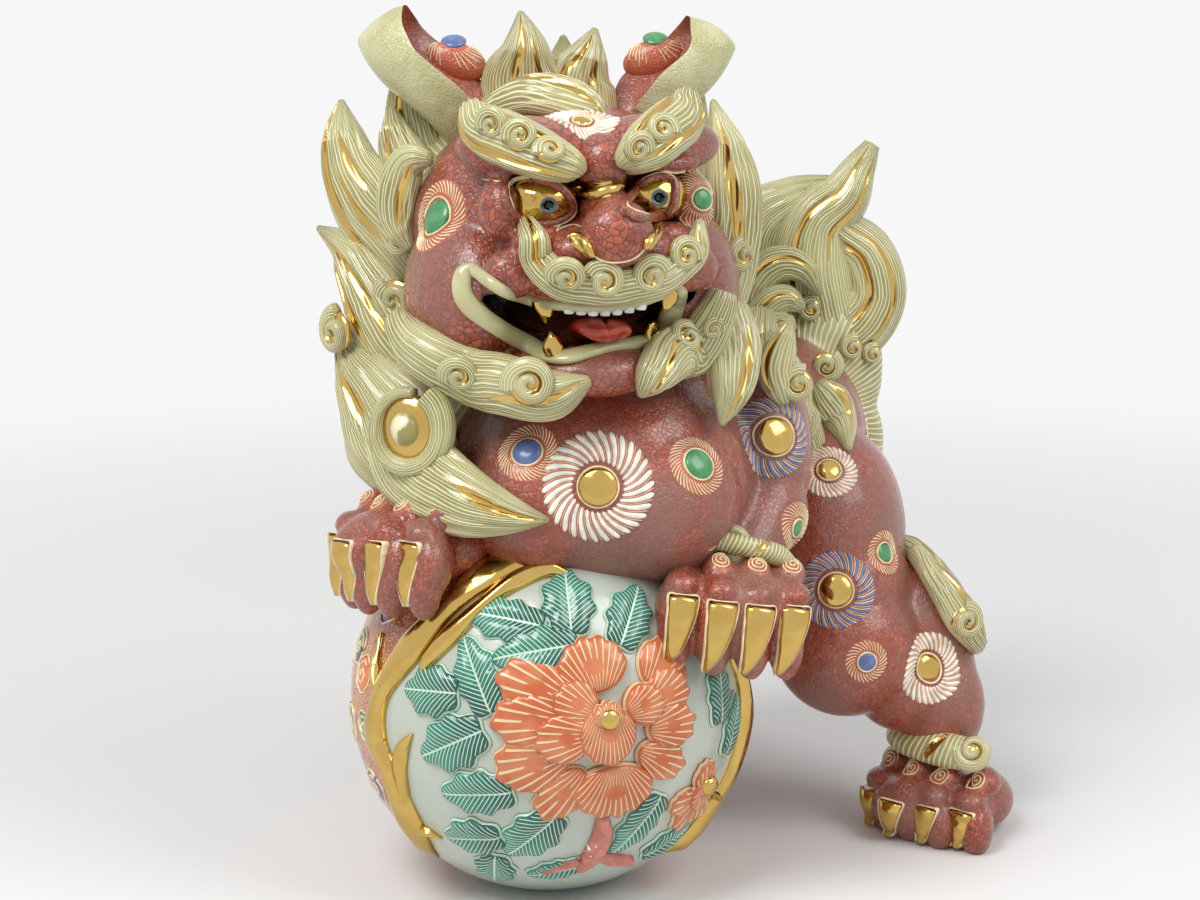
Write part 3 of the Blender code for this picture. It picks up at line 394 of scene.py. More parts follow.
def enamel(name, colour, roughness=0.25, grain=0.25):
    """Coloured enamel, thicker and darker where it pooled."""
    material, tree, shader = new_glaze(name, roughness, 0.2)
    thin = tuple(min(1, c * 1.35 + 0.02) for c in colour)
    mottle = step(tree, noise(tree, 190, 3), 0.35, 0.68)
    link(tree, blend(tree, mottle, (*colour, 1), (*thin, 1)), shader, "Base Color")
    relief(tree, shader, noise(tree, 420, 2), 0.0003, grain)
    return material


SLIP_CREAM = enamel("cream_slip_line", (0.72, 0.60, 0.38), 0.35)
SLIP_WHITE = enamel("white_slip_line", (0.72, 0.70, 0.62), 0.3)


def turned(axis, degrees):
    return Matrix.Rotation(math.radians(degrees), 4, axis)


def sized(x, y, z):
    """Brings a ball of clay to its three radii in millimetres."""
    return Matrix.Diagonal((x * MM, y * MM, z * MM, 1))


def local_frame(normal):
    """Right and up along a surface whose outward direction is given."""
    right = Vector((0, 0, 1)).cross(normal)
    if right.length < 0.05:
        right = Vector((1, 0, 0))
    right.normalize()
    return right, normal.cross(right).normalized()


def patch_on_ball(spot, outline, height, turn, detail, lift=0.0, swell=None):
    """A pillow of clay or enamel on the ball. outline gives its reach in millimetres at each
    angle, and swell its height from the angle and the share of the reach."""
    pillow = ball_of_clay(*detail)
    co = points_of(pillow)
    middle = on_ball(*spot)
    normal = (middle - BALL_MIDDLE).normalized()
    right, up = local_frame(normal)
    share = np.hypot(co[:, 0], co[:, 1])
    share = np.where(co[:, 2] > 0, np.arccos(np.clip(co[:, 2], -1, 1)) / (np.pi / 2), share)
    share = np.minimum(share, 1)
    angle = np.arctan2(co[:, 1], co[:, 0])
    reach = outline(angle) * share
    x, y = reach * np.cos(angle), reach * np.sin(angle)
    rise = height * np.sqrt(np.maximum(0, 1 - share**3))
    if swell is not None:
        rise = rise * swell(angle, share, x, y)
    rise = np.where(co[:, 2] > -0.01, rise + lift, -2.5)
    c, s = math.cos(math.radians(turn)), math.sin(math.radians(turn))
    px, py = (c * x - s * y) * MM, (s * x + c * y) * MM
    way = np.array(normal) * BALL_RADIUS
    way = unit_rows(way + px[:, None] * np.array(right) + py[:, None] * np.array(up))
    move_points(pillow, np.array(BALL_MIDDLE) + way * (BALL_RADIUS + rise * MM)[:, None])
    mark(pillow, "rim", share)
    mark(pillow, "sideways", x)
    mark(pillow, "upward", y)
    return pillow


def spoke(right, up, angle):
    """The way out from a middle at an angle in radians."""
    return right * math.cos(angle) + up * math.sin(angle)


def line_on_ball(points, half, rise, detail):
    """A trailed line of slip over the ball, under points near it."""
    normals = [(point - BALL_MIDDLE).normalized() for point in points]
    path = [BALL_MIDDLE + normal * BALL_RADIUS + normal * rise * 0.25 * MM for normal in normals]
    halves = [half * 0.5] + [half] * (len(path) - 2) + [half * 0.5]
    return flame(path, halves, rise * 2, [tuple(normal) for normal in normals], detail=detail)


def cloud_outline(size):
    """Five lobes, longer on one side."""
    return lambda angle: size * (1 + 0.16 * np.abs(np.sin(angle * 2.5)) + 0.12 * np.cos(angle))


clouds = [
    (-66, 34, 11, "blue", 20), (-60, 46, 9, "orange", 60), (-78, 18, 10, "navy", 0),
    (-68, 12, 10, "orange", 40), (-64, -2, 8, "green", 10), (-80, -6, 12, "blue", 80),
    (-66, -22, 10, "blue", 50), (-84, -28, 11, "orange", 0), (-66, -42, 9, "navy", 30),
    (-98, 8, 12, "orange", 0), (-100, 30, 12, "navy", 30), (-104, -16, 12, "green", 60),
    (-118, 14, 13, "blue", 0), (-122, -8, 12, "white", 0), (-122, 38, 12, "orange", 20),
    (-138, 4, 12, "navy", 10), (-140, 26, 11, "green", 0), (-140, -20, 12, "blue", 70),
    (-158, 14, 13, "orange", 30), (-160, -8, 12, "blue", 0), (-162, 36, 11, "white", 0),
    (-178, 2, 12, "navy", 50), (178, 24, 12, "orange", 0), (176, -22, 12, "green", 20),
    (158, 8, 13, "blue", 40), (158, -14, 12, "orange", 0), (156, 32, 11, "navy", 0),
    (138, 0, 12, "green", 0), (138, 22, 12, "blue", 60), (136, -24, 12, "white", 30),
    (118, 10, 13, "orange", 0), (118, -12, 12, "navy", 20), (116, 34, 12, "green", 0),
    (98, 0, 10, "blue", 0), (98, 22, 11, "white", 40), (96, -24, 11, "orange", 70),
]
enamels = {name: enamel(name + "_enamel", colour) for name, colour in CLOUD_COLOURS.items()}
drops, scrolls = {}, []
for lon, lat, size, colour, turn in clouds:
    outline = cloud_outline(size * 0.78)
    drops.setdefault(colour, []).append(patch_on_ball((lon, lat), outline, 0.7, turn, (30, 8)))
    normal = (on_ball(lon, lat) - BALL_MIDDLE).normalized()
    right, up = local_frame(normal)
    for scroll in (False, True):
        loop = []
        for i in range(25):
            angle = 2 * math.pi * i / 24 * (1.6 if scroll else 1)
            reach = float(outline(np.array([angle]))[0])
            if scroll:
                reach *= 0.75 * (1 - i / 26)
            way = spoke(right, up, angle + math.radians(turn))
            loop.append(on_ball(lon, lat) + way * reach * MM)
        scrolls.append(line_on_ball(loop, 0.42, 1.0 if scroll else 0.7, (6, 40)))
for colour, some in drops.items():
    finished(some, f"enamel_clouds_{colour}", enamels[colour], "white_glaze")
finished(scrolls, "cloud_scroll_lines", SLIP_CREAM, "cream_glaze")


# The peony is pressed from clay petal by petal and luted to the ball. Its petals are orange
# enamel, with a trailed cream edge and fine cream rays, round a gilt heart.
PETAL_ORANGE = (0.52, 0.11, 0.028)
PETAL_PALE = (0.60, 0.19, 0.075)


def petal_enamel():
    material, tree, shader = new_glaze("peony_orange_enamel", 0.3, 0.25)
    rim, fan = read_mark(tree, "rim"), read_mark(tree, "fan")
    wash = step(tree, noise(tree, 70, 3), 0.35, 0.65)
    ground = blend(tree, wash, (*PETAL_ORANGE, 1), (*PETAL_PALE, 1))
    off = near_line(tree, fan)
    ray = step(tree, off, 0.10, 0.17, 1.0, 0.0)
    middle = times(tree, step(tree, rim, 0.22, 0.3), step(tree, rim, 0.84, 0.88, 1, 0))
    ray = times(tree, ray, middle)
    edge = times(tree, step(tree, rim, 0.925, 0.94), step(tree, rim, 0.99, 0.998, 1, 0))
    drawn = maths(tree, "MAXIMUM", ray, edge)
    link(tree, blend(tree, drawn, ground, (0.78, 0.58, 0.34, 1)), shader, "Base Color")
    relief(tree, shader, drawn, 0.0005, 0.8)
    return material


def oval(long, wide, angle):
    """How far an ellipse reaches at an angle."""
    return long * wide / np.sqrt((long * np.cos(angle)) ** 2 + (wide * np.sin(angle)) ** 2)


def petal(spot, x, y, long, wide, turn, height, lift, rays=13, frill=0.07, dish=0.35):
    """A fan-shaped petal, x and y millimetres from a spot on the ball."""
    step_lon = math.degrees(x * MM / BALL_RADIUS) / math.cos(math.radians(spot[1]))
    middle = (spot[0] + step_lon, spot[1] + math.degrees(y * MM / BALL_RADIUS))

    def outline(angle):
        reach = oval(long, wide, angle)
        tip = np.clip(np.sin(angle), 0, 1)
        root = np.clip(-np.sin(angle), 0, 1)
        return reach * (1 + frill * tip * np.cos(11 * angle)) * (1 - 0.22 * root)

    def swell(angle, share, px, py):
        out = np.clip(0.5 + py / (2 * long), 0, 1)
        waves = 0.10 * np.cos(7 * angle) * share**2
        return 1 + dish * out * share**3 - dish * 0.6 * (1 - share**2) + waves

    piece = patch_on_ball(middle, outline, height, turn, (64, 20), lift, swell)
    px, py = np.zeros((2, len(piece.data.vertices)))
    piece.data.attributes["sideways"].data.foreach_get("value", px)
    piece.data.attributes["upward"].data.foreach_get("value", py)
    mark(piece, "fan", np.arctan2(px, py + long * 1.15) / math.radians(100) * rays + 40.5)
    return piece


HEART, BUD = (17, 9), (51, -18)
petals = [petal(HEART, *shape) for shape in (
    (-29, 15, 21, 13.5, 68, 4.6, 0.2), (31, 19, 15, 14, -52, 4.6, 0.2),
    (-31, 1, 20, 13, 88, 5.4, 0.4), (-30, -17, 20, 15, 108, 4.8, 0.2),
    (-18, -31, 18, 11, 140, 4.4, 0.2), (30, 8, 14, 12, -70, 5.4, 0.8),
    (-4, 23, 15, 17, 8, 5.0, 0.6, 15), (30, -6, 15, 11, -92, 5.8, 1.2),
    (25, -20, 16, 10, -118, 5.0, 0.6), (4, -31, 15, 20, 182, 5.6, 0.8, 17),
    (-17, -6, 15, 12, 95, 6.0, 2.0), (-12, 8, 12, 11, 60, 6.0, 1.6),
    (17, 5, 11, 10, -70, 6.2, 1.8), (0, -4, 15.5, 13.5, 180, 6.4, 3.2, 26, 0.03),
    (0, 2, 7, 7.5, 0, 6.4, 4.4, 18, 0.10, 0.1))]
finished(petals, "peony_petals", petal_enamel(), "bloom_orange", ["peony"])
bud_petals = [petal(BUD, *shape) for shape in (
    (-3, -10, 12, 8, 160, 4, 0.2, 9), (-8, -3, 10, 7, 105, 4, 0.4, 8), (5, -8, 11, 7, 205, 4, 0.4, 8),
    (2, 6, 9, 8, -10, 4.2, 0.6, 9), (0, -1, 8, 7.5, 160, 4.8, 1.2, 10))]
finished(bud_petals, "bud_petals", petal_enamel(), "bloom_orange", ["peony_bud"])


def round_outline(size):
    """The same reach at every angle."""
    return lambda angle: np.full(len(angle), size)


hearts = [
    patch_on_ball((17, 10), round_outline(4.6), 3.6, 0, (32, 12), 8.2),
    patch_on_ball((53, -16), round_outline(4.8), 3.2, 0, (32, 12), 4.4),
]
finished(hearts, "gilt_flower_hearts", GOLD, "gilt")
stem_parts = [
    line_on_ball([on_ball(*p) for p in route], half, 3.4, (16, 24))
    for route, half in (
        ([(17, -18), (18, -27), (16, -36), (12, -41)], 5.2), ([(15, -32), (24, -38), (34, -41)], 3.8),
        ([(12, -36), (4, -39), (-1, -41)], 2.6))
]
STEM_ROSE = enamel("stem_rose_enamel", (0.46, 0.14, 0.10))
finished(stem_parts, "peony_stem", STEM_ROSE, "bloom_orange")
dots = [
    patch_on_ball((lon, lat), round_outline(0.75), 0.8, 0, (10, 5), 3.1)
    for lon, lat in ((16, -29), (18, -31), (15, -33), (19, -28), (17, -35), (14, -30), (26, -39),
                     (29, -40), (23, -38))
]
finished(dots, "stem_slip_dots", SLIP_WHITE, "white_glaze")


# The leaves are pressed on in sprays round the bloom, in teal enamel that pools darker at the
# base. The midrib, the side veins and the edge are trailed in pale slip.


def leaf_enamel():
    material, tree, shader = new_glaze("teal_leaf_enamel", 0.25, 0.3)
    rim, aside, up = (read_mark(tree, name) for name in ("rim", "sideways", "upward"))
    pool = step(tree, maths(tree, "MULTIPLY_ADD", noise(tree, 90, 3), 26, up), 0, 22)
    ground = blend(tree, pool, (0.006, 0.085, 0.066, 1), (0.035, 0.225, 0.165, 1))
    slope = times(tree, maths(tree, "ABSOLUTE", aside), -0.85)
    slope = times(tree, maths(tree, "ADD", slope, up), 0.43)
    off = near_line(tree, maths(tree, "ADD", slope, 40))
    vein = times(tree, step(tree, off, 0.09, 0.16, 1, 0), step(tree, rim, 0.86, 0.9, 1, 0))
    midrib = step(tree, maths(tree, "ABSOLUTE", aside), 0.35, 0.6, 1, 0)
    midrib = times(tree, midrib, step(tree, rim, 0.9, 0.94, 1, 0))
    edge = times(tree, step(tree, rim, 0.92, 0.94), step(tree, rim, 0.99, 0.998, 1, 0))
    drawn = maths(tree, "MAXIMUM", maths(tree, "MAXIMUM", vein, midrib), edge)
    link(tree, blend(tree, drawn, ground, (0.58, 0.78, 0.62, 1)), shader, "Base Color")
    relief(tree, shader, drawn, 0.0005, 0.8)
    return material


def leaf(spot, turn, long, wide):
    """A lobed, pointed leaf, creased along its midrib."""

    def outline(angle):
        reach = oval(long, wide, angle)
        tip = np.exp(-(((angle - math.pi / 2) / 0.28) ** 2))
        lobes = 0.09 * np.cos(7 * (angle - math.pi / 2)) * (1 - tip)
        return reach * (1 + 0.16 * tip + lobes)

    def swell(angle, share, px, py):
        return 1 - 0.45 * np.exp(-((px / 2.6) ** 2)) * (1 - share**2) + 0.06 * np.cos(9 * angle) * share

    return patch_on_ball(spot, outline, 3.6, turn, (56, 16), 0.2, swell)


LEAF_TEAL = leaf_enamel()
sprays = {
    "leaves_top": [
        (9, 42, 0, 17, 12.5), (-12, 37, 82, 19, 10.5), (-1, 28.5, 100, 20, 12), (30, 36, -35, 17, 11)],
    "leaves_right": [
        (-33, 15, 95, 15, 12), (-19, 20, 28, 19, 10.5), (-25, 2, 118, 18, 13), (-18, -12, 98, 18, 11.5),
        (-22, -28, 100, 15, 11.5), (-3, -25, 138, 18, 12), (-19, -42, 165, 14, 10)],
    "leaves_low": [(5, -41, 110, 14, 7.5), (30, -24, 150, 19, 10), (46, -36, -60, 14, 9.5)],
    "leaves_left": [(59, 9, -8, 17, 9.5), (66, -3, -24, 15, 8.5), (41, 23, -50, 12, 8)],
}
for name, leaves in sprays.items():
    made = [leaf((lon, lat), turn, long, wide) for lon, lat, turn, long, wide in leaves]
    finished(made, name, LEAF_TEAL, "leaf_green", [name])


# The body is cast with its legs as one thick hollow form, luted and smoothed with a wet
# sponge. Its red glaze is painted over a network of trailed lines. A mauve bloom lies in
# patches over the chest and the rest of the body, partly the glaze's own bloom and partly
# painted sheen, the light's reflection in the glaze.


def red_glaze(name, cell, bloom_and_sheen_share, network=(0.20, 0.065, 0.05, 1)):
    """Crackled red: brick-red cells in a darker network, under thin wrinkled mauve patches that
    are partly the glaze's own bloom and partly painted sheen. Where a rosette of thin rays
    lies, the ground is plain orange red."""
    material, tree, shader = new_glaze(name, 0.27, 0.3)
    where = spots(tree)
    wobble = node(tree, "ShaderNodeTexNoise", {"Vector": where, "Scale": 120.0, "Detail": 2.0})

    def vectors(operation, ins):
        return node(tree, "ShaderNodeVectorMath", ins, operation=operation).outputs[0]

    shift = vectors("SUBTRACT", {0: wobble.outputs["Color"], 1: (0.5, 0.5, 0.5)})
    bent = vectors("ADD", {0: where, 1: vectors("SCALE", {0: shift, "Scale": 0.006})})

    def cracks(size, soft):
        ins = {"Vector": bent, "Scale": 1000 / size}
        cells = node(tree, "ShaderNodeTexVoronoi", ins, feature="DISTANCE_TO_EDGE")
        return step(tree, cells.outputs["Distance"], 0.01, soft, 1, 0)

    tints = node(tree, "ShaderNodeTexVoronoi", {"Vector": bent, "Scale": 1000 / cell})
    tint = node(tree, "ShaderNodeSeparateColor", {0: tints.outputs["Color"]}).outputs[0]
    line, wrinkle = cracks(cell, 0.16), cracks(1.3, 0.3)
    brick = blend(tree, tint, (0.31, 0.042, 0.018, 1), (0.47, 0.105, 0.048, 1))
    # Mauve patches laid by noise: partly the glaze's own bloom, partly painted sheen.
    bloom_and_painted_sheen = step(tree, noise(tree, 24, 5, where), 0.40, 0.64, 0.04, bloom_and_sheen_share)
    bloom_and_sheen_colour = blend(tree, wrinkle, (0.29, 0.155, 0.12, 1), (0.20, 0.09, 0.07, 1))
    brick = blend(tree, maths(tree, "ADD", bloom_and_painted_sheen, times(tree, line, 0.1)), brick, bloom_and_sheen_colour)
    lines = blend(tree, bloom_and_painted_sheen, network, (0.25, 0.115, 0.085, 1))
    glazed = blend(tree, times(tree, line, 0.8), brick, lines)
    ground = step(tree, read_mark(tree, "ground"), 0.0, 0.25)
    plain = blend(tree, noise(tree, 160, 3, where), (0.42, 0.085, 0.04, 1), (0.56, 0.16, 0.085, 1))
    link(tree, blend(tree, ground, glazed, plain), shader, "Base Color")
    link(tree, step(tree, bloom_and_painted_sheen, 0.1, 0.8, 0.2, 0.34), shader, "Roughness")
    height = times(tree, noise(tree, 330, 2, where), 0.3)
    height = maths(tree, "SUBTRACT", height, line)
    height = maths(tree, "SUBTRACT", height, times(tree, wrinkle, 0.25))
    relief(tree, shader, height, 0.00035, 0.5)
    return material


def press(name, lumps, grain, softness, place_at=place):
    """Lumps of clay, each a middle, three radii and a turn, pressed into one smooth body."""
    parts = []
    for spot, radii, turn in lumps:
        lump = ball_of_clay(32, 20)
        pose = Matrix.Translation(place_at(*spot)) @ turned("Z", turn)
        lump.data.transform(pose @ sized(*radii))
        parts.append(lump)
    pressed = joined(parts)
    pressed.name = name
    fuse = pressed.modifiers.new("fuse", "REMESH")
    fuse.mode = "VOXEL"
    fuse.voxel_size = grain * MM
    sponge = pressed.modifiers.new("sponge", "SMOOTH")
    sponge.factor = 0.5
    sponge.iterations = softness
    for modifier in ("fuse", "sponge"):
        bpy.ops.object.modifier_apply(modifier=modifier)
    return pressed


def limb(start, end, first, last):
    """Five lumps in a row, from the first radius to the last."""
    lumps = []
    for share in (0, 0.25, 0.5, 0.75, 1):
        middle = tuple(a + (b - a) * share for a, b in zip(start, end))
        lumps.append((middle, (first + (last - first) * share,) * 3, 0))
    return lumps


HIND_RADII = [(42, 54, 56), (39, 43, 41), (37, 37, 36), (25, 25, 23), (31, 31, 39), (23, 23, 30)]
body_lumps = [
    ((0, -33, 195), (72, 59, 57), 0), ((-27, -52, 190), (38, 43, 40), 0),
    ((27, -52, 190), (38, 43, 40), 0), ((-6, -21, 241), (56, 46, 45), 0),
    ((41, 31, 191), (56, 66, 50), -33), ((83, 94, 188), (54, 54, 54), -33),
]
for leg in (
        ((112, 62, 146), (117, 44, 119), (122, 28, 96), (151, 33, 73), (158, 50, 95), (170, 36, 62)),
        ((42, 125, 146), (18, 113, 121), (-2, 104, 100), (4, 136, 77), (4, 148, 95), (8, 158, 62))):
    body_lumps += [(spot, radii, 0) for spot, radii in zip(leg, HIND_RADII)]
body_lumps += [
    ((79, -6, 200), (22, 34, 42), 0), ((78, -24, 176), (20, 24, 22), 0),
    ((-70, -9, 195), (22, 34, 40), 0),
]
for ends in (((158, 50, 95), (170, 36, 58), 29, 22), ((4, 148, 95), (8, 158, 58), 29, 22),
             ((76, -29, 177), (66, -48, 160), 19, 17), ((-52, -37, 177), (-72, -59, 175), 22, 18)):
    body_lumps += limb(*ends)
BODY_RED = red_glaze("crackled_red_glaze", 2.5, 0.8)
body = press("body", body_lumps, 2.0, 9)
finished(body, "body", BODY_RED, "red_glaze",
         ["torso", "foreleg_left", "foreleg_right", "hind_leg_left", "hind_leg_right"])


# The head is cast hollow with its mouth cut open and its lower jaw luted under it. Cheeks,
# brow, nose and eye rims are built up in soft clay before the same crackled red glaze.
HEAD_TURN = 15
HEAD_MIDDLE = (-14, -30, 300)


def head_at(x, y, z):
    """A point in millimetres from the middle of the head, turned with the face."""
    c, s = math.cos(math.radians(HEAD_TURN)), math.sin(math.radians(HEAD_TURN))
    return place(HEAD_MIDDLE[0] + c * x - s * y, HEAD_MIDDLE[1] + s * x + c * y, HEAD_MIDDLE[2] + z)


def mane_at(x, y, z):
    """A point in millimetres from the middle of the head, not turned."""
    return place(HEAD_MIDDLE[0] + x, HEAD_MIDDLE[1] + y, HEAD_MIDDLE[2] + z)


head_lumps = []
for (x, y, z), radii in (
        ((0, 12, 10), (70, 60, 57)), ((-47, -5, -18), (30, 45, 40)), ((0, -44, 2), (43, 36, 22)),
        ((-30, -34, 50), (30, 23, 14)), ((0, -16, 40), (44, 34, 24)), ((0, -57, 44), (12, 14, 14)),
        ((0, -62, 26), (11, 20, 11)), ((0, -82, 17), (16, 14, 15)), ((-17, -71, 9), (11, 12, 8.5)),
        ((0, -50, -47), (29, 21, 12)), ((-25, -34, -48), (20, 25, 13)), ((0, -28, -50), (36, 26, 13)),
        ((-26, -60, 13), (15, 9, 6)), ((-43, -48, 25), (10, 12, 14)), ((-40, -57, -2), (13, 10, 11)),
        ((-28, -56, 44), (17, 9, 4.5))):
    for side in ((x, -x) if x else (0,)):
        head_lumps.append(((side, y, z), radii, HEAD_TURN))
head = press("head", head_lumps, 1.7, 5, head_at)
VIEW_FROM, VIEW_AT, VIEW_LENS = place(0, -1173.8, 449.5), place(0, 0, 200), 75.6
VIEW_WIDTH, VIEW_HEIGHT, SENSOR = 1200, 900, 36


def skin_of(*pieces):
    """The outside of one or more pieces, for other pieces to be laid on."""
    points, faces = [], []
    for piece in pieces:
        first = len(points)
        points += [v.co for v in piece.data.vertices]
        faces += [[first + i for i in p.vertices] for p in piece.data.polygons]
    return BVHTree.FromPolygons(points, faces)


def sight(u, v):
    """The way out from the front viewpoint, through a place in a 1200 by 900 view."""
    ahead = (VIEW_AT - VIEW_FROM).normalized()
    right = ahead.cross(Vector((0, 0, 1))).normalized()
    focal = VIEW_LENS / SENSOR * VIEW_WIDTH
    across, down = (u - VIEW_WIDTH / 2) / focal, (v - VIEW_HEIGHT / 2) / focal
    return (ahead + right * across - right.cross(ahead) * down).normalized()


def seen(u, v, skin, depth=-30.0):
    """Where a skin is met along the sight at u, v and its direction out, or else a point at
    that depth in millimetres behind the chest's axis."""
    way = sight(u, v)
    spot, normal, _, _ = skin.ray_cast(VIEW_FROM, way)
    if spot is None:
        spot = VIEW_FROM + way * ((place(0, depth, 0).y - VIEW_FROM.y) / way.y)
        normal = Vector((0, -1, 0))
    return spot, normal


whole_face = skin_of(head)
MOUTH_MIDDLE = (-3, -34, -27)
MOUTH_HALF = (50, 60, 9.5)
MOUTH_RISE = 14


def mouth_level(x):
    """How far the mouth rises towards its corners, in millimetres."""
    return MOUTH_RISE * np.abs(x / MOUTH_HALF[0]) ** 1.7


mouth = ball_of_clay(48, 24)
co = points_of(mouth) * np.array(MOUTH_HALF)
co[:, 2] += mouth_level(co[:, 0])
move_points(mouth, co * MM)
mouth.data.transform(Matrix.Translation(head_at(*MOUTH_MIDDLE)) @ turned("Z", HEAD_TURN))
fit = head.modifiers.new("cut", "BOOLEAN")
fit.operation = "DIFFERENCE"
fit.object = mouth
bpy.context.view_layer.objects.active = head
bpy.ops.object.modifier_apply(modifier="cut")
bpy.data.objects.remove(mouth)


def head_glaze():
    """The body's red, with painted shade inside the mouth: near black where the cut opens."""
    material = red_glaze("crackled_red_face_glaze", 3.2, 0.6, (0.10, 0.018, 0.014, 1))
    tree = material.node_tree
    shader = tree.nodes["Principled BSDF"]
    red = shader.inputs["Base Color"].links[0].from_socket
    # Painted shade: the inside of the mouth is coloured near black.
    painted_mouth_shade = blend(tree, read_mark(tree, "mouth"), red, (0.006, 0.005, 0.005, 1))
    link(tree, painted_mouth_shade, shader, "Base Color")
    return material


# Marks the points inside the mouth's cut, which the head's glaze paints near black as shade.
local = (points_of(head) - np.array(head_at(*MOUTH_MIDDLE))) / MM
c, s = math.cos(math.radians(HEAD_TURN)), math.sin(math.radians(HEAD_TURN))
lx, ly = c * local[:, 0] + s * local[:, 1], -s * local[:, 0] + c * local[:, 1]
inside = (lx / MOUTH_HALF[0]) ** 2 + (ly / MOUTH_HALF[1]) ** 2
inside += ((local[:, 2] - mouth_level(lx)) / MOUTH_HALF[2]) ** 2
mark(head, "mouth", (inside < 1.04).astype(float))
finished(head, "head", head_glaze(), "red_glaze", ["head", "lower_jaw"])


# The lips are one broad rolled band of cream clay round the mouth, laid over the cut edge.
# Behind it are a row of small white teeth, four gilt fangs and a red tongue.


def plain_cream():
    material, tree, shader = new_glaze("smooth_cream_glaze", 0.24, 0.35)
    wash = step(tree, noise(tree, 55, 3), 0.3, 0.7)
    link(tree, blend(tree, wash, (0.45, 0.43, 0.205, 1), (0.57, 0.55, 0.32, 1)), shader, "Base Color")
    relief(tree, shader, noise(tree, 120, 2), 0.0006, 0.25)
    return material


def hoop(path, half, thickness, facing, detail=(120, 16)):
    """A closed roll of clay along a ring of points."""
    begin()
    bpy.ops.mesh.primitive_torus_add(
        major_segments=detail[0], minor_segments=detail[1], major_radius=1, minor_radius=0.25)
    ring = bpy.context.object
    co = points_of(ring)
    share = (np.arctan2(co[:, 1], co[:, 0]) / (2 * np.pi)) % 1
    around = np.arctan2(co[:, 2], np.hypot(co[:, 0], co[:, 1]) - 1)
    count = len(path)

    def looped(values, shares):
        values = list(values)
        return curve_at(values[-2:] + values + values[:2], (2 + shares % 1 * count) / (count + 3))

    middle = looped(path, share)
    ahead = unit_rows(looped(path, share + 0.004) - looped(path, share - 0.004))
    front = looped(facing, share)
    side = unit_rows(np.cross(front, ahead))
    out = np.cross(ahead, side)
    wide = looped(half, share) if hasattr(half, "__len__") else half
    move_points(ring, middle + side * (wide * np.cos(around) * MM)[:, None]
                + out * (thickness / 2 * np.sin(around) * MM)[:, None])
    mark(ring, "gilding", np.full(len(co), -1.0))
    return ring


lip_line = [
    (463, 291), (464, 276), (474, 271), (488, 279), (505, 290), (522, 297), (543, 301), (565, 303),
    (590, 305), (615, 304), (636, 300), (655, 294), (670, 288), (680, 289), (677, 301), (671, 316),
    (664, 330), (651, 341), (632, 346), (610, 348), (589, 353), (567, 358), (547, 356), (530, 347),
    (513, 336), (497, 326), (481, 315), (469, 304),
]
lip_half = [4.5, 4.2, 3.3, 2.9, 2.7, 2.8, 2.8, 2.6, 2.5, 2.5, 2.5, 2.7, 3.0, 3.6, 4.4, 5.0,
            4.8, 4.3, 4.2, 3.6, 4.2, 5.0, 5.0, 4.5, 4.2, 4.0, 4.2, 4.5]
lip_spots = [seen(u, v, whole_face) for u, v in lip_line]
lip_path = [spot + normal * MM for spot, normal in lip_spots]
lip_facing = []
for i in range(len(lip_spots)):
    near = [lip_spots[(i + k) % len(lip_spots)][1] for k in range(-3, 4)]
    lip_facing.append(tuple(sum(near, Vector()).normalized()))
lips = hoop(lip_path, lip_half, 5.2, lip_facing, (160, 20))
lip_skin = skin_of(lips)
CREAM_SMOOTH = plain_cream()
finished(lips, "lip_band", CREAM_SMOOTH, "cream_glaze", ["upper_lip", "lower_lip"])


def on_face(line, lift, skin=whole_face, depth=-60):
    """Points over a skin along a line in the front view, and the ways out of it there."""
    spots_seen = [seen(u, v, skin, depth) for u, v in line]
    path = [spot + normal * lift * MM for spot, normal in spots_seen]
    return path, [tuple(normal) for _, normal in spots_seen]


def face_line(line, half=0.36):
    """A trailed slip line through places in the front view."""
    path, facing = on_face(line, 0.2)
    halves = [half * 0.4] + [half] * (len(path) - 2) + [half * 0.4]
    return flame(path, halves, 1.4, facing, detail=(6, 4 * len(path)))


def beside(spot, u, v, behind):
    """The point in line with u, v that lies some millimetres further back than a spot."""
    way = sight(u, v)
    return VIEW_FROM + way * ((spot.y + behind * MM - VIEW_FROM.y) / way.y)


teeth = []
for u, v in ((569, 303), (581, 304), (593, 305), (605, 305), (617, 304), (629, 302), (641, 299)):
    spot, _ = seen(u, v, lip_skin)
    path = [beside(spot, u, v + down, 2.6) for down in (0, 5, 11)]
    teeth.append(flame(path, [2.7, 2.8, 2.0], 5, (0.26, -1, 0), detail=(16, 12)))
TOOTH_WHITE = enamel("tooth_white_glaze", (0.70, 0.74, 0.76), 0.18, 0.1)
finished(teeth, "upper_teeth_row", TOOTH_WHITE, "white_glaze", ["upper_teeth"])
fangs = {
    "upper_fang_right": ([(545, 299), (546, 308), (547, 325)], [6.2, 5.6, 0.7], 4.6),
    "upper_fang_left": ([(671, 289), (668, 299), (661, 313)], [3.6, 4.2, 0.7], 1.2),
    "lower_fang_right": ([(555, 355), (553, 345), (550, 331)], [4.4, 4.8, 1.4], 3.6),
    "lower_fang_left": ([(652, 340), (651, 330), (649, 319)], [4.0, 4.2, 1.4], 2.2),
}
for name, (line, sizes, behind_lip) in fangs.items():
    root, _ = seen(*line[0], lip_skin)
    path = [beside(root, u, v, behind_lip) for u, v in line]
    finished(flame(path, sizes, 8, (0.2, -1, 0), detail=(24, 20)), name + "_gilt", GOLD, "gilt", [name])
tongue_path = [head_at(*spot) for spot in (
    (2, -22, -36), (1, -44, -30), (0, -58, -27), (-1, -65, -27.5), (-1, -68, -30.5))]
cleft = [(0.05, 0.97, 0, 0, 0.09, 2.2)]
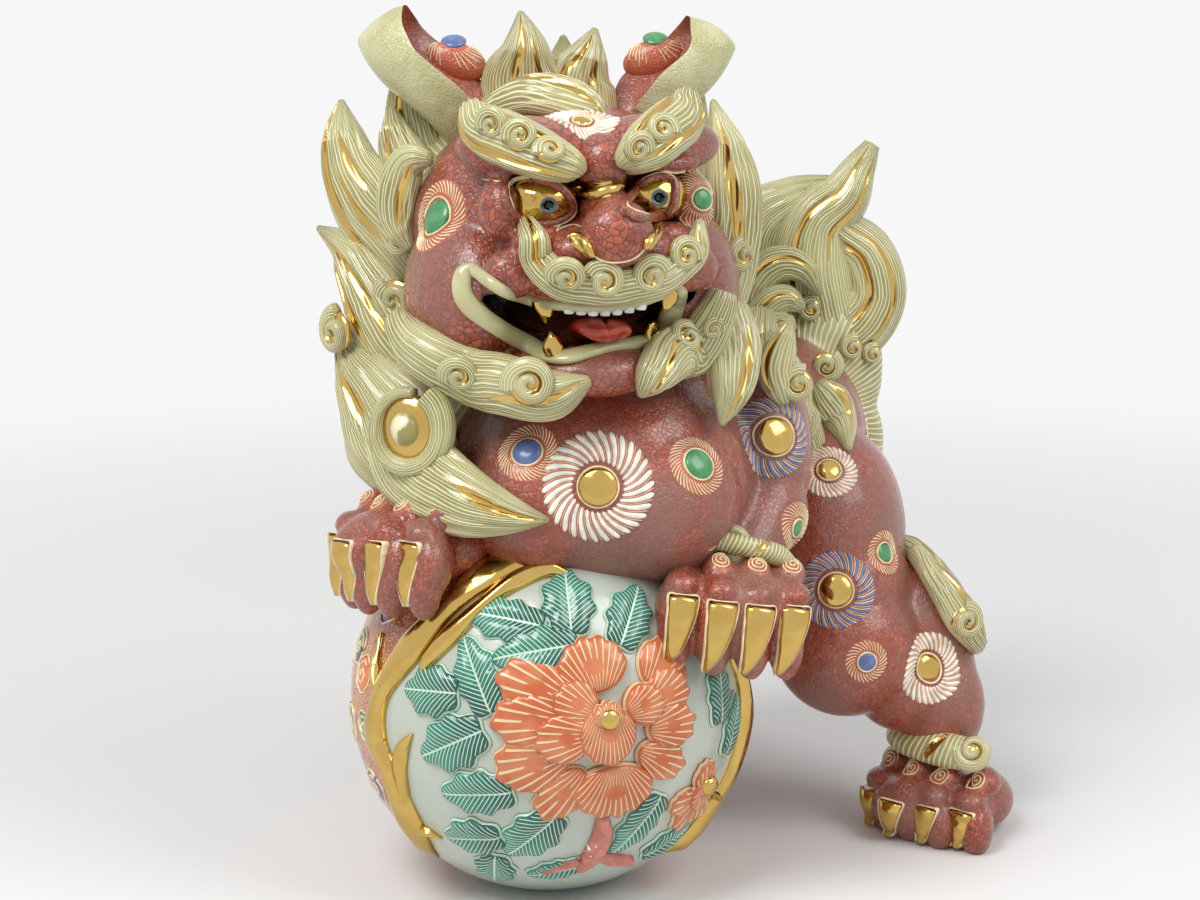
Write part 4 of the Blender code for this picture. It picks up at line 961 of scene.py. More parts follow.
tongue = flame(tongue_path, [10, 13, 13, 11, 5], 10, (0.15, -0.25, 1), cleft, detail=(40, 40))
TONGUE_RED = enamel("tongue_red_enamel", (0.36, 0.035, 0.015), 0.22, 0.2)
finished(tongue, "tongue_curl", TONGUE_RED, "tongue_red", ["tongue"])


# Each eye is a gilt ball set in its socket, pierced with a dark pupil ringed in grey blue,
# between rolled red lids that carry a fine cream line.


def eye_glaze():
    material, tree, shader = new_glaze("gilt_eye", 0.1)
    far = read_mark(tree, "pupil")
    stains = step(tree, noise(tree, 260, 3), 0.58, 0.7, 0.0, 0.75)
    gold = blend(tree, stains, gold_colour(tree), (0.34, 0.11, 0.012, 1))
    ring = blend(tree, step(tree, far, 2.1, 2.5), (0.004, 0.005, 0.007, 1), (0.10, 0.14, 0.155, 1))
    painted = step(tree, far, 3.7, 4.1, 1, 0)
    link(tree, blend(tree, painted, gold, ring), shader, "Base Color")
    link(tree, maths(tree, "SUBTRACT", 1.0, painted), shader, "Metallic")
    return material


GILT_EYE = eye_glaze()
eyes = {
    "eye_right": (-25, (549, 206), [
        (505, 192), (515, 181), (536, 178), (556, 184), (571, 199), (572, 213), (557, 222), (538, 224),
        (520, 219), (509, 206)]),
    "eye_left": (25, (660, 198), [
        (624, 207), (633, 192), (645, 180), (660, 175), (673, 180), (675, 196), (671, 210), (659, 217),
        (642, 217), (630, 213)]),
}
for name, (x, pupil_at, rim_line) in eyes.items():
    eye = ball_of_clay(72, 48)
    eye.data.transform(sized(15.5, 14, 12))
    eye.data.transform(turned("Z", HEAD_TURN + x * 0.4))
    eye.data.transform(Matrix.Translation(head_at(x, -51, 29)))
    pupil, inward = seen(*pupil_at, skin_of(eye), -85)
    co = points_of(eye)
    far = np.linalg.norm(co - np.array(pupil), axis=1) / MM
    sink = np.clip((2.4 - far) / 0.6, 0, 1) * 3 * MM
    move_points(eye, co - np.array(inward) * sink[:, None])
    mark(eye, "pupil", far)
    finished(eye, name + "_gilt", GILT_EYE, "gilt", [name])
    around = skin_of(eye, head)
    path, facing = on_face(rim_line, -0.6, around)
    facing = [tuple(Vector(f) * 0.4 + Vector((0.26, -1, 0.1))) for f in facing]
    lid = finished(hoop(path, 2.3, 6.5, facing, (96, 16)), name + "_lids", None, "red_glaze")
    lid.data.materials.append(head.data.materials[0])
    # The lids take no painted mouth shade.
    mark(lid, "mouth", np.zeros(len(lid.data.vertices)))
    inside_lid = [(pupil_at[0] + (u - pupil_at[0]) * 0.95, pupil_at[1] + (v - pupil_at[1]) * 0.94)
                  for u, v in rim_line]
    path, facing = on_face(inside_lid, 1.5, around)
    inner = hoop(path, 0.45, 2.2, facing, (96, 8))
    finished(inner, name + "_lid_line", SLIP_CREAM, "cream_glaze")


# Gilt fills the nostrils and the fold between the brows, each edged with a cream line. Fine
# lines are trailed along the folds of the eyes and the nose.
gold_folds = []
for line, sizes, high in (
        ([(570, 240), (578, 240), (588, 248), (596, 257)], [1.2, 3.6, 3.4, 0.5], 6),
        ([(664, 228), (657, 231), (649, 241), (643, 249)], [1.2, 3.4, 3.2, 0.5], 6),
        ([(570, 185), (583, 190), (597, 192), (611, 190), (623, 184)], [0.8, 3.8, 4.6, 3.8, 0.8], 8)):
    path, facing = on_face(line, 0.3)
    gold_folds.append(flame(path, sizes, high, facing, [(0.1, 0.95, 0, 0, 0.5, 1.6)], detail=(24, 28)))
finished(gold_folds, "gilt_nostrils", GOLD, "gilt")
face_lines = [
    [(569, 184), (584, 195), (598, 198), (612, 195), (624, 182)],
    [(571, 182), (584, 186), (598, 188), (612, 185), (622, 180)],
    [(481, 179), (497, 182), (515, 181), (535, 178), (556, 180)],
    [(686, 170), (676, 172), (662, 171), (646, 176), (634, 186)],
    [(567, 238), (576, 235), (586, 243), (598, 258), (614, 262), (632, 259), (643, 250), (652, 236),
     (662, 226), (667, 230)],
    [(556, 232), (566, 227), (578, 226), (588, 232)], [(563, 222), (560, 226), (556, 232)],
    [(484, 184), (500, 195), (507, 208), (520, 222), (540, 231)],
]
finished([face_line(line) for line in face_lines], "face_slip_lines", SLIP_CREAM, "cream_glaze")


# Rosettes of swirling slip strokes are trailed over the red glaze on the chest, shoulder,
# flank, haunch, knee and cheeks. Each turns round a gilt dome or a drop of enamel.
ROSE_GREEN, ROSE_BLUE = enamels["green"], enamel("rosette_blue_enamel", (0.085, 0.13, 0.30))
SLIP_ROSE = enamel("rose_slip_line", (0.70, 0.34, 0.20), 0.32)
STROKES = {
    "white": (30, 0.60, 0.9, 30, (0.5,)),
    "blue": (24, 0.42, 0.8, 30, (0.32, 0.68)),
    "thin": (38, 0.30, 0.5, 34, ()),
}
HEART_RISE = 0.34


def laid_on(skin, spot, normal, aside=Vector((0, 0, 0))):
    """Where a skin lies under a spot moved aside in millimetres, and its direction out."""
    hit, out, _, _ = skin.ray_cast(spot + (aside + normal * 22) * MM, -normal, 50 * MM)
    return hit, out


def rosette(skin, spot, normal, reach, heart, kind):
    """Strokes from round the heart out to the reach, both in millimetres. Gives the strokes and
    the lines trailed between them."""
    count, fill, rise, swirl, between_at = STROKES[kind]
    count = min(count, round(count * reach / 14))
    right, up = local_frame(normal)
    strokes, between = [], []
    for i in range(count):
        for half_step in (0.0, *between_at):
            path, facing, halves = [], [], []
            for reached in np.linspace(heart * 1.2 + 0.6, reach, 6):
                turn = math.radians((i + half_step) * 360 / count
                                    + swirl * (reached - heart) / (reach - heart))
                hit, out = laid_on(skin, spot, normal, spoke(right, up, turn) * reached)
                if hit is None or out.dot(normal) < 0.15:
                    break
                path.append(hit + out * 0.15 * MM)
                facing.append(tuple(out))
                halves.append(math.pi * reached / count * fill)
            if len(path) < 4:
                continue
            if half_step:
                halves = [0.2] + [0.32] * (len(path) - 1)
                between.append(flame(path, halves, 0.9, facing, detail=(6, 10)))
            else:
                halves[-1] *= 0.55
                strokes.append(flame(path, halves, rise * 1.6, facing, detail=(8, 12)))
    return strokes, between


def facing_out(normal):
    """Turns a shape's Z axis to a direction."""
    return normal.to_track_quat("Z", "Y").to_matrix().to_4x4()


def heart_dome(skin, spot, normal, radius):
    """The low dome that a rosette turns round."""
    hit, _ = laid_on(skin, spot, normal)
    dome = ball_of_clay(36, 20)
    dome.data.transform(sized(radius, radius, radius * HEART_RISE))
    dome.data.transform(facing_out(normal))
    dome.data.transform(Matrix.Translation(spot if hit is None else hit))
    return dome


def heart_ring(skin, spot, normal, radius):
    """The slip line round that dome, where the skin reaches all the way round it."""
    right, up = local_frame(normal)
    path, facing = [], []
    for i in range(24):
        way = spoke(right, up, 2 * math.pi * i / 24)
        hit, out = laid_on(skin, spot, normal, way * radius)
        if hit is None:
            return None
        path.append(hit + out * 0.3 * MM)
        facing.append(tuple(out))
    return hoop(path, 0.5, 1.4, facing, (72, 8))


body_skin, head_skin = skin_of(body), skin_of(head)
rosettes = [
    ("chest", body_skin, (598, 487), 25, 8.6, "white", "gold"),
    ("throat_left", body_skin, (699, 464), 14, 7.0, "thin", "green"),
    ("throat_right", body_skin, (527, 452), 14, 6.5, "thin", "blue"),
    ("shoulder", body_skin, (776, 436), 19, 8.6, "blue", "gold"),
    ("flank", body_skin, (829, 470), 14.5, 5.5, "white", "gold"),
    ("belly", body_skin, (797, 528), 12, 4.0, "thin", "green"),
    ("haunch", body_skin, (836, 590), 19, 8.0, "blue", "gold"),
    ("haunch_back", body_skin, (884, 553), 11, 5.0, "thin", "green"),
    ("knee", body_skin, (867, 662), 10.5, 4.4, "thin", "blue"),
    ("shin", body_skin, (928, 668), 18, 7.0, "white", "gold"),
    ("cheek_right", head_skin, (437, 217), 17, 8.5, "thin", "green"),
    ("cheek_left", head_skin, (703, 199), 14, 4.5, "thin", "green"),
    ("forehead", head_skin, (582, 121), 17, 4.0, "white", "gold"),
]
behind = [
    ("rump", (83, 240, 200), (0, -1, -0.05), 24, 8.5, "white", "gold"),
    ("rump_right", (-60, 150, 160), (1, -0.25, 0), 19, 8.0, "blue", "gold"),
    ("thigh_right", (-90, 105, 110), (1, 0, 0), 13, 5.5, "thin", "green"),
    ("side_right", (-120, 40, 185), (1, 0.1, 0), 18, 7.5, "white", "gold"),
    ("haunch_left", (230, 96, 186), (-1, 0.1, 0), 20, 8.2, "white", "gold"),
]
for name, origin, way, reach, heart, kind, fill in behind:
    way = Vector(way).normalized()
    hit, _, _, _ = body_skin.ray_cast(place(*origin), way)
    if hit is not None:
        rosettes.append((name, body_skin, hit, reach, heart, kind, fill))
slip = {"white": [], "blue": [], "thin": [], "line": [], "ring": []}
domes = {"gold": [], "green": [], "blue": []}
for name, skin, where, reach, heart, kind, fill in rosettes:
    spot = seen(*where, skin)[0] if isinstance(where, tuple) else where
    near = [skin.find_nearest(spot + Vector((dx, dy, dz)) * reach * 0.5 * MM)[1]
            for dx in (-1, 0, 1) for dy in (-1, 0, 1) for dz in (-1, 0, 1)]
    normal = sum(near, Vector()).normalized()
    strokes, between = rosette(skin, spot, normal, reach, heart, kind)
    slip[kind] += strokes
    slip["line" if kind == "white" else "ring"] += between[::2]
    slip["line"] += between[1::2]
    domes[fill].append(heart_dome(skin, spot, normal, heart))
    ring = heart_ring(skin, spot, normal, heart * 1.05)
    if ring is not None:
        slip["ring"].append(ring)
for piece, names in ((body, ("throat", "belly", "haunch_back", "knee", "thigh")), (head, ("cheek",))):
    co, under = points_of(piece), np.full(len(piece.data.vertices), -1.0)
    for name, skin, where, reach, *_ in rosettes:
        if name.startswith(names):
            spot = seen(*where, skin)[0] if isinstance(where, tuple) else where
            far = np.linalg.norm(co - np.array(spot), axis=1) / MM
            under = np.maximum(under, (reach * 1.05 - far) / 4)
    mark(piece, "ground", under)
finishes = {"white": SLIP_WHITE, "blue": ROSE_BLUE, "thin": SLIP_CREAM, "line": SLIP_ROSE,
            "ring": SLIP_CREAM}
for kind, some in slip.items():
    finished(some, f"rosette_{kind}_slip", finishes[kind], "cream_glaze")
hearts_in = {"gold": (GOLD, "gilt"), "green": (ROSE_GREEN, "white_glaze"),
            "blue": (ROSE_BLUE, "white_glaze")}
for fill, some in domes.items():
    finished(some, f"rosette_{fill}_hearts", *hearts_in[fill])


# All hair is pressed in cream clay as flame locks and snail curls, then luted on. Cream
# glaze pools yellow between fine white trailed strands, and the deep valleys are gilded.


def hair_glaze():
    material, tree, shader = new_glaze("cream_hair_glaze", 0.25, 0.3)
    uv = node(tree, "ShaderNodeUVMap", uv_map="UVMap").outputs[0]
    across = node(tree, "ShaderNodeSeparateXYZ", {0: uv}).outputs[0]
    sway = noise(tree, 60, 2)
    lines = maths(tree, "ADD", across, times(tree, sway, 1.2))
    off = near_line(tree, lines)
    line = step(tree, off, 0.10, 0.24, 1, 0)
    pool = step(tree, noise(tree, 38, 3), 0.34, 0.66)
    cream = blend(tree, pool, (0.46, 0.425, 0.185, 1), (0.30, 0.265, 0.08, 1))
    cream = blend(tree, line, cream, (0.78, 0.75, 0.50, 1))
    gilding = read_mark(tree, "gilding")
    gold = step(tree, gilding, 0.02, 0.06)
    edge = step(tree, gilding, -0.14, -0.06)
    edge = times(tree, edge, step(tree, gilding, 0.0, 0.04, 1, 0))
    cream = blend(tree, times(tree, edge, 0.55), cream, (0.40, 0.25, 0.07, 1))
    link(tree, blend(tree, gold, cream, gold_colour(tree)), shader, "Base Color")
    link(tree, gold, shader, "Metallic")
    link(tree, step(tree, gold, 0, 1, 0.26, 0.13), shader, "Roughness")
    height = times(tree, line, maths(tree, "SUBTRACT", 1.0, gold))
    relief(tree, shader, height, 0.0005, 0.7)
    return material


HAIR = hair_glaze()


def luted(parts, name, ending="_hair"):
    """Joins the rolls of one pressed lock or tuft, which shows the node of that name."""
    finished(parts, name + ending, HAIR, "cream_glaze", [name])


def snail(centre, facing, radius, turns=1.5, start=90, hand=1):
    """A snail curl over a gilt seat, from its outer end in to its eye. Gold lines the valley
    between its first turn and its eye."""
    normal = Vector(facing).normalized()
    right, up = local_frame(normal)
    path, halves = [], []
    for share in np.linspace(0, 1, 17):
        angle = math.radians(start) + hand * share * turns * 2 * math.pi
        reach = radius * (0.72 * (1 - share) ** 0.85 + 0.05)
        way = spoke(right, up, angle)
        path.append(centre + (way * reach + normal * radius * 0.3 * share) * MM)
        halves.append(radius * (0.34 * (1 - share) + 0.15))
    valley = [(0.05, 0.62, 0.62 * hand, 0.58 * hand, 0.42, radius * 0.2)]
    roll = flame(path, halves, radius * 0.62, tuple(normal), valley, detail=(32, 119), lines=1.1)
    seat = ball_of_clay(28, 14)
    under = Matrix.Translation(centre - normal * radius * 0.06 * MM)
    seat.data.transform(under @ facing_out(normal) @ sized(radius * 0.86, radius * 0.86, radius * 0.30))
    mark(seat, "gilding", np.ones(len(seat.data.vertices)))
    return [roll, seat]


OVAL = 1.12


def button_curl(centre, facing, radius, start=60, hand=-1):
    """A big curl: one open turn of hair round a gilt ring, with an oval button in its middle."""
    normal = Vector(facing).normalized()
    right, up = local_frame(normal)
    path, halves = [], []
    for share in np.linspace(0, 1, 15):
        angle = math.radians(start) + hand * share * 1.9 * math.pi
        way = spoke(right, up * OVAL, angle)
        path.append(centre + way * radius * (0.80 - 0.12 * share) * MM)
        halves.append(radius * (0.32 - 0.20 * share))
    parts = [flame(path, halves, radius * 0.6, tuple(normal), (), 4, 0.5, (32, 96), 1.1)]
    pose = Matrix.Translation(centre) @ facing_out(normal)
    for across, high, gilding in ((0.66, 0.26, 1.0), (0.38, 0.44, -1.0)):
        cushion = ball_of_clay(48, 24)
        size = sized(across * radius, across * OVAL * radius, high * radius)
        cushion.data.transform(pose @ size)
        mark(cushion, "gilding", np.full(len(cushion.data.vertices), gilding))
        parts.append(cushion)
    return parts


def curl_at(u, v, size, hand, start, lift, turns=1.5, skin=whole_face, depth=-60, tilt=None):
    """A snail curl at a place in the front view, its size in view units."""
    spot, normal = seen(u, v, skin, depth)
    normal = Vector(tilt) if tilt else (normal + Vector((0, -0.7, 0.1))).normalized()
    return snail(spot + normal.normalized() * lift * MM, normal, size / 2.2, turns, start, hand)


def swag(line, halves, thickness, lift, grooves, strands, ridge, depth=-60):
    """A roll of hair luted to the face along a line in the front view."""
    path, facing = on_face(line, lift, depth=depth)
    facing = [tuple(Vector(way) * 0.5 + Vector((0, -0.5, 0.05))) for way in facing]
    return flame(path, halves, thickness, facing, grooves, strands, ridge, (56, 64))


tache_line = [(527, 222), (534, 239), (544, 260), (563, 276), (588, 281), (606, 282), (630, 280),
              (655, 274), (677, 261), (689, 242), (698, 214)]
tache_valleys = [(0.03, 0.27, 0.25, 0.1, 0.2, 2.2), (0.75, 0.98, 0.1, 0.35, 0.2, 2.2)]
tache = [swag(tache_line, [2, 6.4, 7.6, 8.6, 8.2, 8.4, 8.2, 8.4, 7.4, 6.2, 1.5], 12, 4,
              tache_valleys, 5, 0.6)]
for u, v, hand, start in (
        (569, 265, -1, 200), (603, 276, -1, 160), (645, 272, 1, 20), (674, 257, 1, -20)):
    tache += curl_at(u, v, 19, hand, start, 7.5)
luted(tache, "moustache", "_swag")
BROW_VALLEYS = [(0.2, 0.95, 0.62, 0.75, 0.16, 2.0), (0.25, 0.9, -0.5, -0.75, 0.12, 1.8)]
brows = {
    "brow_right": ([(-12, -70, 42), (-15, -70, 44), (-27, -67, 49), (-40, -56, 55), (-48, -39, 59),
                    (-50, -27, 65)], [0.5, 6.5, 10.5, 12, 11, 5],
                   [(494, 124, 17, -1, 200), (521, 136, 17, -1, 200), (550, 151, 15, -1, 200)]),
    "brow_left": ([(4, -72, 44), (6, -72, 46), (16, -69, 52), (27, -62, 58), (37, -52, 63),
                   (42, -43, 69)],
                  [0.5, 6, 11, 12, 11, 5], [(637, 148, 16, 1, -20), (662, 130, 16, 1, -20)]),
}
for name, (line, sizes, knots) in brows.items():
    route = [head_at(*spot) for spot in line]
    parts = [flame(route, sizes, 21, (0, -1, 0.2), BROW_VALLEYS, 5, 0.9, (56, 64))]
    roll = skin_of(parts[0])
    for u, v, size, hand, start in knots:
        parts += curl_at(u, v, size, hand, start, 0.2, skin=roll, depth=-100)
    luted(parts, name, "_cloud")
beards = {
    "beard_right": ([(398, 318), (430, 344), (470, 366), (512, 380), (556, 386), (590, 378)],
                    [6, 12, 14, 14, 12, 2],
                    [(466, 361, 20, -1, 200), (533, 380, 25, -1, 200), (499, 384, 9, -1, 250)]),
    "beard_left": ([(716, 290), (707, 318), (692, 342), (668, 360), (645, 374), (634, 388)],
                   [6, 10, 12, 12, 9, 1],
                   [(706, 322, 12, 1, -20), (675, 352, 20, 1, -20)]),
}
for name, (line, sizes, knots) in beards.items():
    parts = [swag(line, sizes, 17, 5, [(0.55, 0.98, -0.4, 0.4, 0.16, 2)], 6, 0.8, -45)]
    for u, v, size, hand, start in knots:
        parts += curl_at(u, v, size, hand, start, 12, depth=-60)
    luted(parts, name, "_fringe")


# The ears are pressed as deep spoons: smooth cream outside, red crackled glaze inside, and a
# dome of clay on the fold over the root, where a rosette is trailed.


def ear_glaze():
    material = red_glaze("ear_glaze", 2.8, 0.6)
    tree = material.node_tree
    shader = tree.nodes["Principled BSDF"]
    red = shader.inputs["Base Color"].links[0].from_socket
    inner = step(tree, read_mark(tree, "hollow"), 0.48, 0.52)
    wash = step(tree, noise(tree, 50, 3), 0.3, 0.7)
    cream = blend(tree, wash, (0.46, 0.44, 0.20, 1), (0.62, 0.60, 0.36, 1))
    link(tree, blend(tree, inner, cream, red), shader, "Base Color")
    return material


EAR = ear_glaze()
EAR_DEPTH, EAR_HOLLOW, EAR_DETAIL = 52, 16, (96, 64)
ears = {
    "ear_right": ([(-28, 32, 60), (-39, 36, 74), (-50, 40, 84), (-59, 43, 92), (-64, 44, 100),
                   (-66, 45, 109)], [13, 20, 22, 20, 14, 2.5], (0.66, -0.16, 0.74), (455, 58), "blue", 1),
    "ear_left": ([(32, 26, 60), (41, 29, 74), (51, 32, 82), (59, 33, 88), (64, 33, 95), (66, 32, 103)],
                 [13, 20, 21, 19, 14, 4], (-0.6, -0.22, 0.78), (654, 55), "green", -1),
}
for name, (route, sizes, facing, dome_at, fill, hand) in ears.items():
    path = [head_at(*spot) for spot in route]
    ear = flame(path, sizes, EAR_DEPTH, facing, detail=EAR_DETAIL, cup=EAR_HOLLOW)
    unrolled = ball_of_clay(*EAR_DETAIL)
    unit = points_of(unrolled)
    bpy.data.objects.remove(unrolled)
    ring = np.hypot(unit[:, 0], unit[:, 1]) > 1e-4
    angle = np.arctan2(unit[:, 1], unit[:, 0])
    mark(ear, "hollow", np.where(ring, np.clip((np.sin(angle) - 0.12) * 4 + 0.5, 0, 1), 0))
    mark(ear, "ground", np.full(len(unit), -1.0))
    hollow, _ = seen(*dome_at, skin_of(ear), -10)
    dome = ball_of_clay(56, 36)
    dome.data.transform(Matrix.Translation(hollow + Vector((0, -2, -2)) * MM)
                        @ turned("Y", 14 * hand) @ sized(15, 7, 9.5))
    for key in ("ground", "hollow"):
        mark(dome, key, np.ones(len(dome.data.vertices)))
    dome_skin = skin_of(dome)
    top, _, _, _ = dome_skin.find_nearest(hollow + Vector((0, -1, 12)) * MM)
    rising = Vector((0, -0.45, 1)).normalized()
    strokes, between = rosette(dome_skin, top, rising, 15, 6, "thin")
    finished(strokes + between, name + "_rosette_slip", SLIP_CREAM, "cream_glaze")
    finished(heart_dome(dome_skin, top, rising, 6), name + "_rosette_heart", *hearts_in[fill])
    finished([ear, dome], name + "_spoon", EAR, "cream_glaze", [name])


# The mane stands on a cast collar behind the face. Its flame locks are luted on in rows, the
# biggest down the right side of the neck. Each carries gilt valleys, and most carry a snail curl.


def comb(piece, centre, axis, count):
    """Runs the strands of a cast body out from an axis, as its texture's first direction."""
    axis = Vector(axis).normalized()
    right, up = local_frame(axis)
    co = points_of(piece) - np.array(centre)
    angle = np.arctan2(co @ np.array(up), co @ np.array(right))
    layer = piece.data.uv_layers.active or piece.data.uv_layers.new(name="UVMap")
    layer.name = "UVMap"
    corners = np.zeros(len(piece.data.loops), int)
    piece.data.loops.foreach_get("vertex_index", corners)
    value = angle[corners] / (2 * math.pi) * count
    totals = np.zeros(len(piece.data.polygons), int)
    piece.data.polygons.foreach_get("loop_total", totals)
    starts = np.zeros(len(totals), int)
    piece.data.polygons.foreach_get("loop_start", starts)
    first = np.repeat(value[starts], totals)
    value = value - np.round((value - first) / count) * count
    layer.data.foreach_set("uv", np.stack([value, np.zeros(len(value))], 1).ravel())
    mark(piece, "gilding", np.full(len(co), -1.0))


collar = press("mane_collar", [((-12, 42, -6), (80, 38, 74), 0), ((-8, 60, -30), (64, 38, 64), 0),
                               ((-60, 16, -72), (30, 30, 32), 0)], 3.0, 6, mane_at)
comb(collar, mane_at(-5, 20, 0), (0, -1, 0), 150)
luted([collar], "mane_collar", "_cast")
FRONT, REAR = (-0.35, -1, 0), (0.1, 1, 0.1)
VALLEY_SPREAD = 1.3
S_GROOVE = [(0.12, 0.92, -0.5, 0.3, 0.16, 3.0)]
TWO_GROOVES = [(0.10, 0.90, -0.55, 0.1, 0.13, 2.6), (0.25, 0.8, 0.15, 0.55, 0.10, 2.0)]
locks = {
    "crest_middle": [
        ([(-16, 38, 46), (-22, 42, 72), (-21, 40, 90), (-23, 40, 106)], [17, 20, 11, 1], 20, (0, -1, 0),
         [(0.35, 0.97, 0.2, 0.0, 0.12, 2.5), (0.3, 0.75, -0.5, -0.4, 0.08, 1.5)])],
    "crest_left": [
        ([(8, 44, 44), (4, 45, 70), (8, 45, 85), (12, 44, 98)], [16, 17, 10, 1], 18, (0, -1, 0),
         [(0.3, 0.95, 0.6, 0.1, 0.12, 2.2), (0.3, 0.7, -0.3, -0.5, 0.1, 1.5)])],
    "forelock": [
        ([(-36, 10, 60), (-18, -2, 70), (2, -8, 67), (16, -12, 58)], [7, 12, 12, 3], 15, (0, -0.6, 1),
         [(0.2, 0.95, 0.5, -0.2, 0.2, 2.0)])],
    "mane_right_upper": [
        ([(-66, 22, -16), (-80, 22, 4), (-93, 25, 18), (-102, 31, 34), (-106, 38, 51), (-107, 44, 65)],
         [14, 19, 19, 15, 9, 1], 20, FRONT,
         [(0.12, 0.97, 0.80, 0.45, 0.13, 3), (0.42, 0.78, -0.35, -0.2, 0.11, 2.2),
          (0.2, 0.6, 0.2, 0.1, 0.07, 1.2)]),
        ([(-58, 30, 4), (-68, 38, 34), (-74, 44, 64), (-70, 50, 97)], [16, 18, 13, 1], 16, FRONT,
         [(0.3, 0.9, 0.1, 0.4, 0.13, 2)]),
        ([(-60, 14, 8), (-70, 20, 26), (-79, 28, 44), (-83, 36, 62)], [10, 13, 11, 1.5], 14, FRONT,
         [(0.2, 0.85, 0.5, 0.1, 0.15, 2.2)])],
    "mane_right_middle": [
        ([(-66, 8, -58), (-78, 8, -46), (-88, 14, -31), (-96, 22, -16), (-104, 32, -4), (-120, 44, 5)],
         [14, 19, 18, 14, 9, 1], 20, FRONT,
         [(0.05, 0.97, -0.35, 0.35, 0.12, 3.0), (0.25, 0.8, 0.55, 0.7, 0.07, 1.2)])],
    "mane_right_lower": [
        ([(-66, -16, -102), (-80, -8, -84), (-92, 6, -66), (-108, 26, -46)], [22, 28, 20, 4], 24, FRONT,
         [(0.3, 0.95, 0.1, 0.4, 0.14, 2.6)])],
    "chest_lock_right": [
        ([(-84, -16, -70), (-70, -40, -92), (-48, -60, -103), (-28, -67, -108), (-8, -67, -111)],
         [14, 21, 17, 10, 1], 17, (-0.5, -1, 0.2), [(0.45, 0.97, 0.5, -0.1, 0.17, 2.4)])],
    "mane_left_upper": [
        ([(68, 16, -34), (74, 20, -10), (76, 24, 14), (74, 28, 36), (66, 32, 66)],
         [12, 15, 15, 12, 1], 18, (0.6, -1, 0), [(0.15, 0.95, 0.0, 0.6, 0.16, 2.2)])],
    "mane_left_lower": [
        ([(70, -6, -24), (74, -20, -41), (73, -34, -57), (68, -41, -74)], [12, 15, 11, 1], 15,
         (0.6, -1, 0.1), [(0.2, 0.97, 0.4, -0.1, 0.15, 2.2)])],
    "shoulder_lock_left": [
        ([(104, 44, -94), (104, 48, -81), (100, 56, -66), (94, 66, -50)], [9, 14, 13, 4], 18,
         (0.6, -1, 0.1), [(0.3, 0.95, 0.4, 0.5, 0.15, 2.0)])],
    "nape_upper": [
        ([(-2, 98, -16), (-3, 112, 22), (-4, 116, 56), (-4, 108, 92)], [26, 32, 20, 1], 20, REAR,
         TWO_GROOVES),
        *(([(-side * x, y, z) for x, y, z in ((22, 90, -12), (36, 98, 14), (50, 96, 44), (62, 80, 74))],
           [24, 30, 20, 1], 20, REAR, S_GROOVE) for side in (1, -1))],
    "nape_lower_right": [
        ([(-28, 88, -16), (-42, 104, -44), (-56, 108, -72), (-74, 104, -106)], [24, 34, 25, 1], 22,
         REAR, TWO_GROOVES)],
    "nape_lower_left": [
        ([(18, 92, -18), (34, 108, -46), (48, 114, -74), (68, 118, -106)], [24, 34, 25, 1], 22, REAR,
         TWO_GROOVES)],
}
lock_curls = {
    "mane_right_upper": [((-78, 6, 4), (-0.4, -1, 0), 7, 1.4, 200, 1)],
    "mane_right_middle": [((-80, 6, -24), (-0.4, -1, 0), 11, 1.5, 120, 1)],
    "mane_right_lower": [((-108, 12, -40), (-0.9, -0.8, 0), 11, 1.4, 90, 1)],
    "mane_left_upper": [((79, 6, -4), (0.7, -1, 0), 8, 1.4, 90, 1)],
    "shoulder_lock_left": [((105, 36, -80), (0.6, -1, 0.1), 10, 1.5, 90, 1)],
    "nape_lower_right": [((-44, 116, -52), REAR, 13, 1.5, 90, 1)],
    "nape_lower_left": [((36, 120, -54), REAR, 13, 1.5, 90, -1)],
    "nape_upper": [((-2, 122, 22), REAR, 14, 1.5, 90, 1), ((-40, 106, 14), REAR, 11, 1.5, 90, 1),
                   ((40, 106, 14), REAR, 11, 1.5, 90, -1)],
}
for name, some in locks.items():
    parts = []
    for route, sizes, thickness, facing, grooves in some:
        route = [mane_at(*spot) for spot in route]
        valleys = [(*places, wide * VALLEY_SPREAD, deep) for *places, wide, deep in grooves]
        parts.append(flame(route, sizes, thickness, facing, valleys, 6, 0.9, (64, 60)))
    for spot, facing, size, turns, start, hand in lock_curls.get(name, []):
        parts += snail(mane_at(*spot), facing, size, turns, start, hand)
    if name == "mane_right_upper":
        crescent = [mane_at(*spot) for spot in (
            (-62, -8, 42), (-72, -4, 40), (-78, 0, 26), (-78, 0, 12), (-72, -4, 0))]
        valley = [(0.08, 0.85, 0.45, 0.35, 0.2, 2.0)]
        parts.append(flame(crescent, [3, 8.5, 10, 8, 2], 13, (-0.3, -1, 0.1), valley, 5, 0.7, (48, 56)))
    if name == "mane_right_lower":
        parts += button_curl(mane_at(-71, -46, -74), (-0.35, -1, 0.1), 21)
    luted(parts, name)


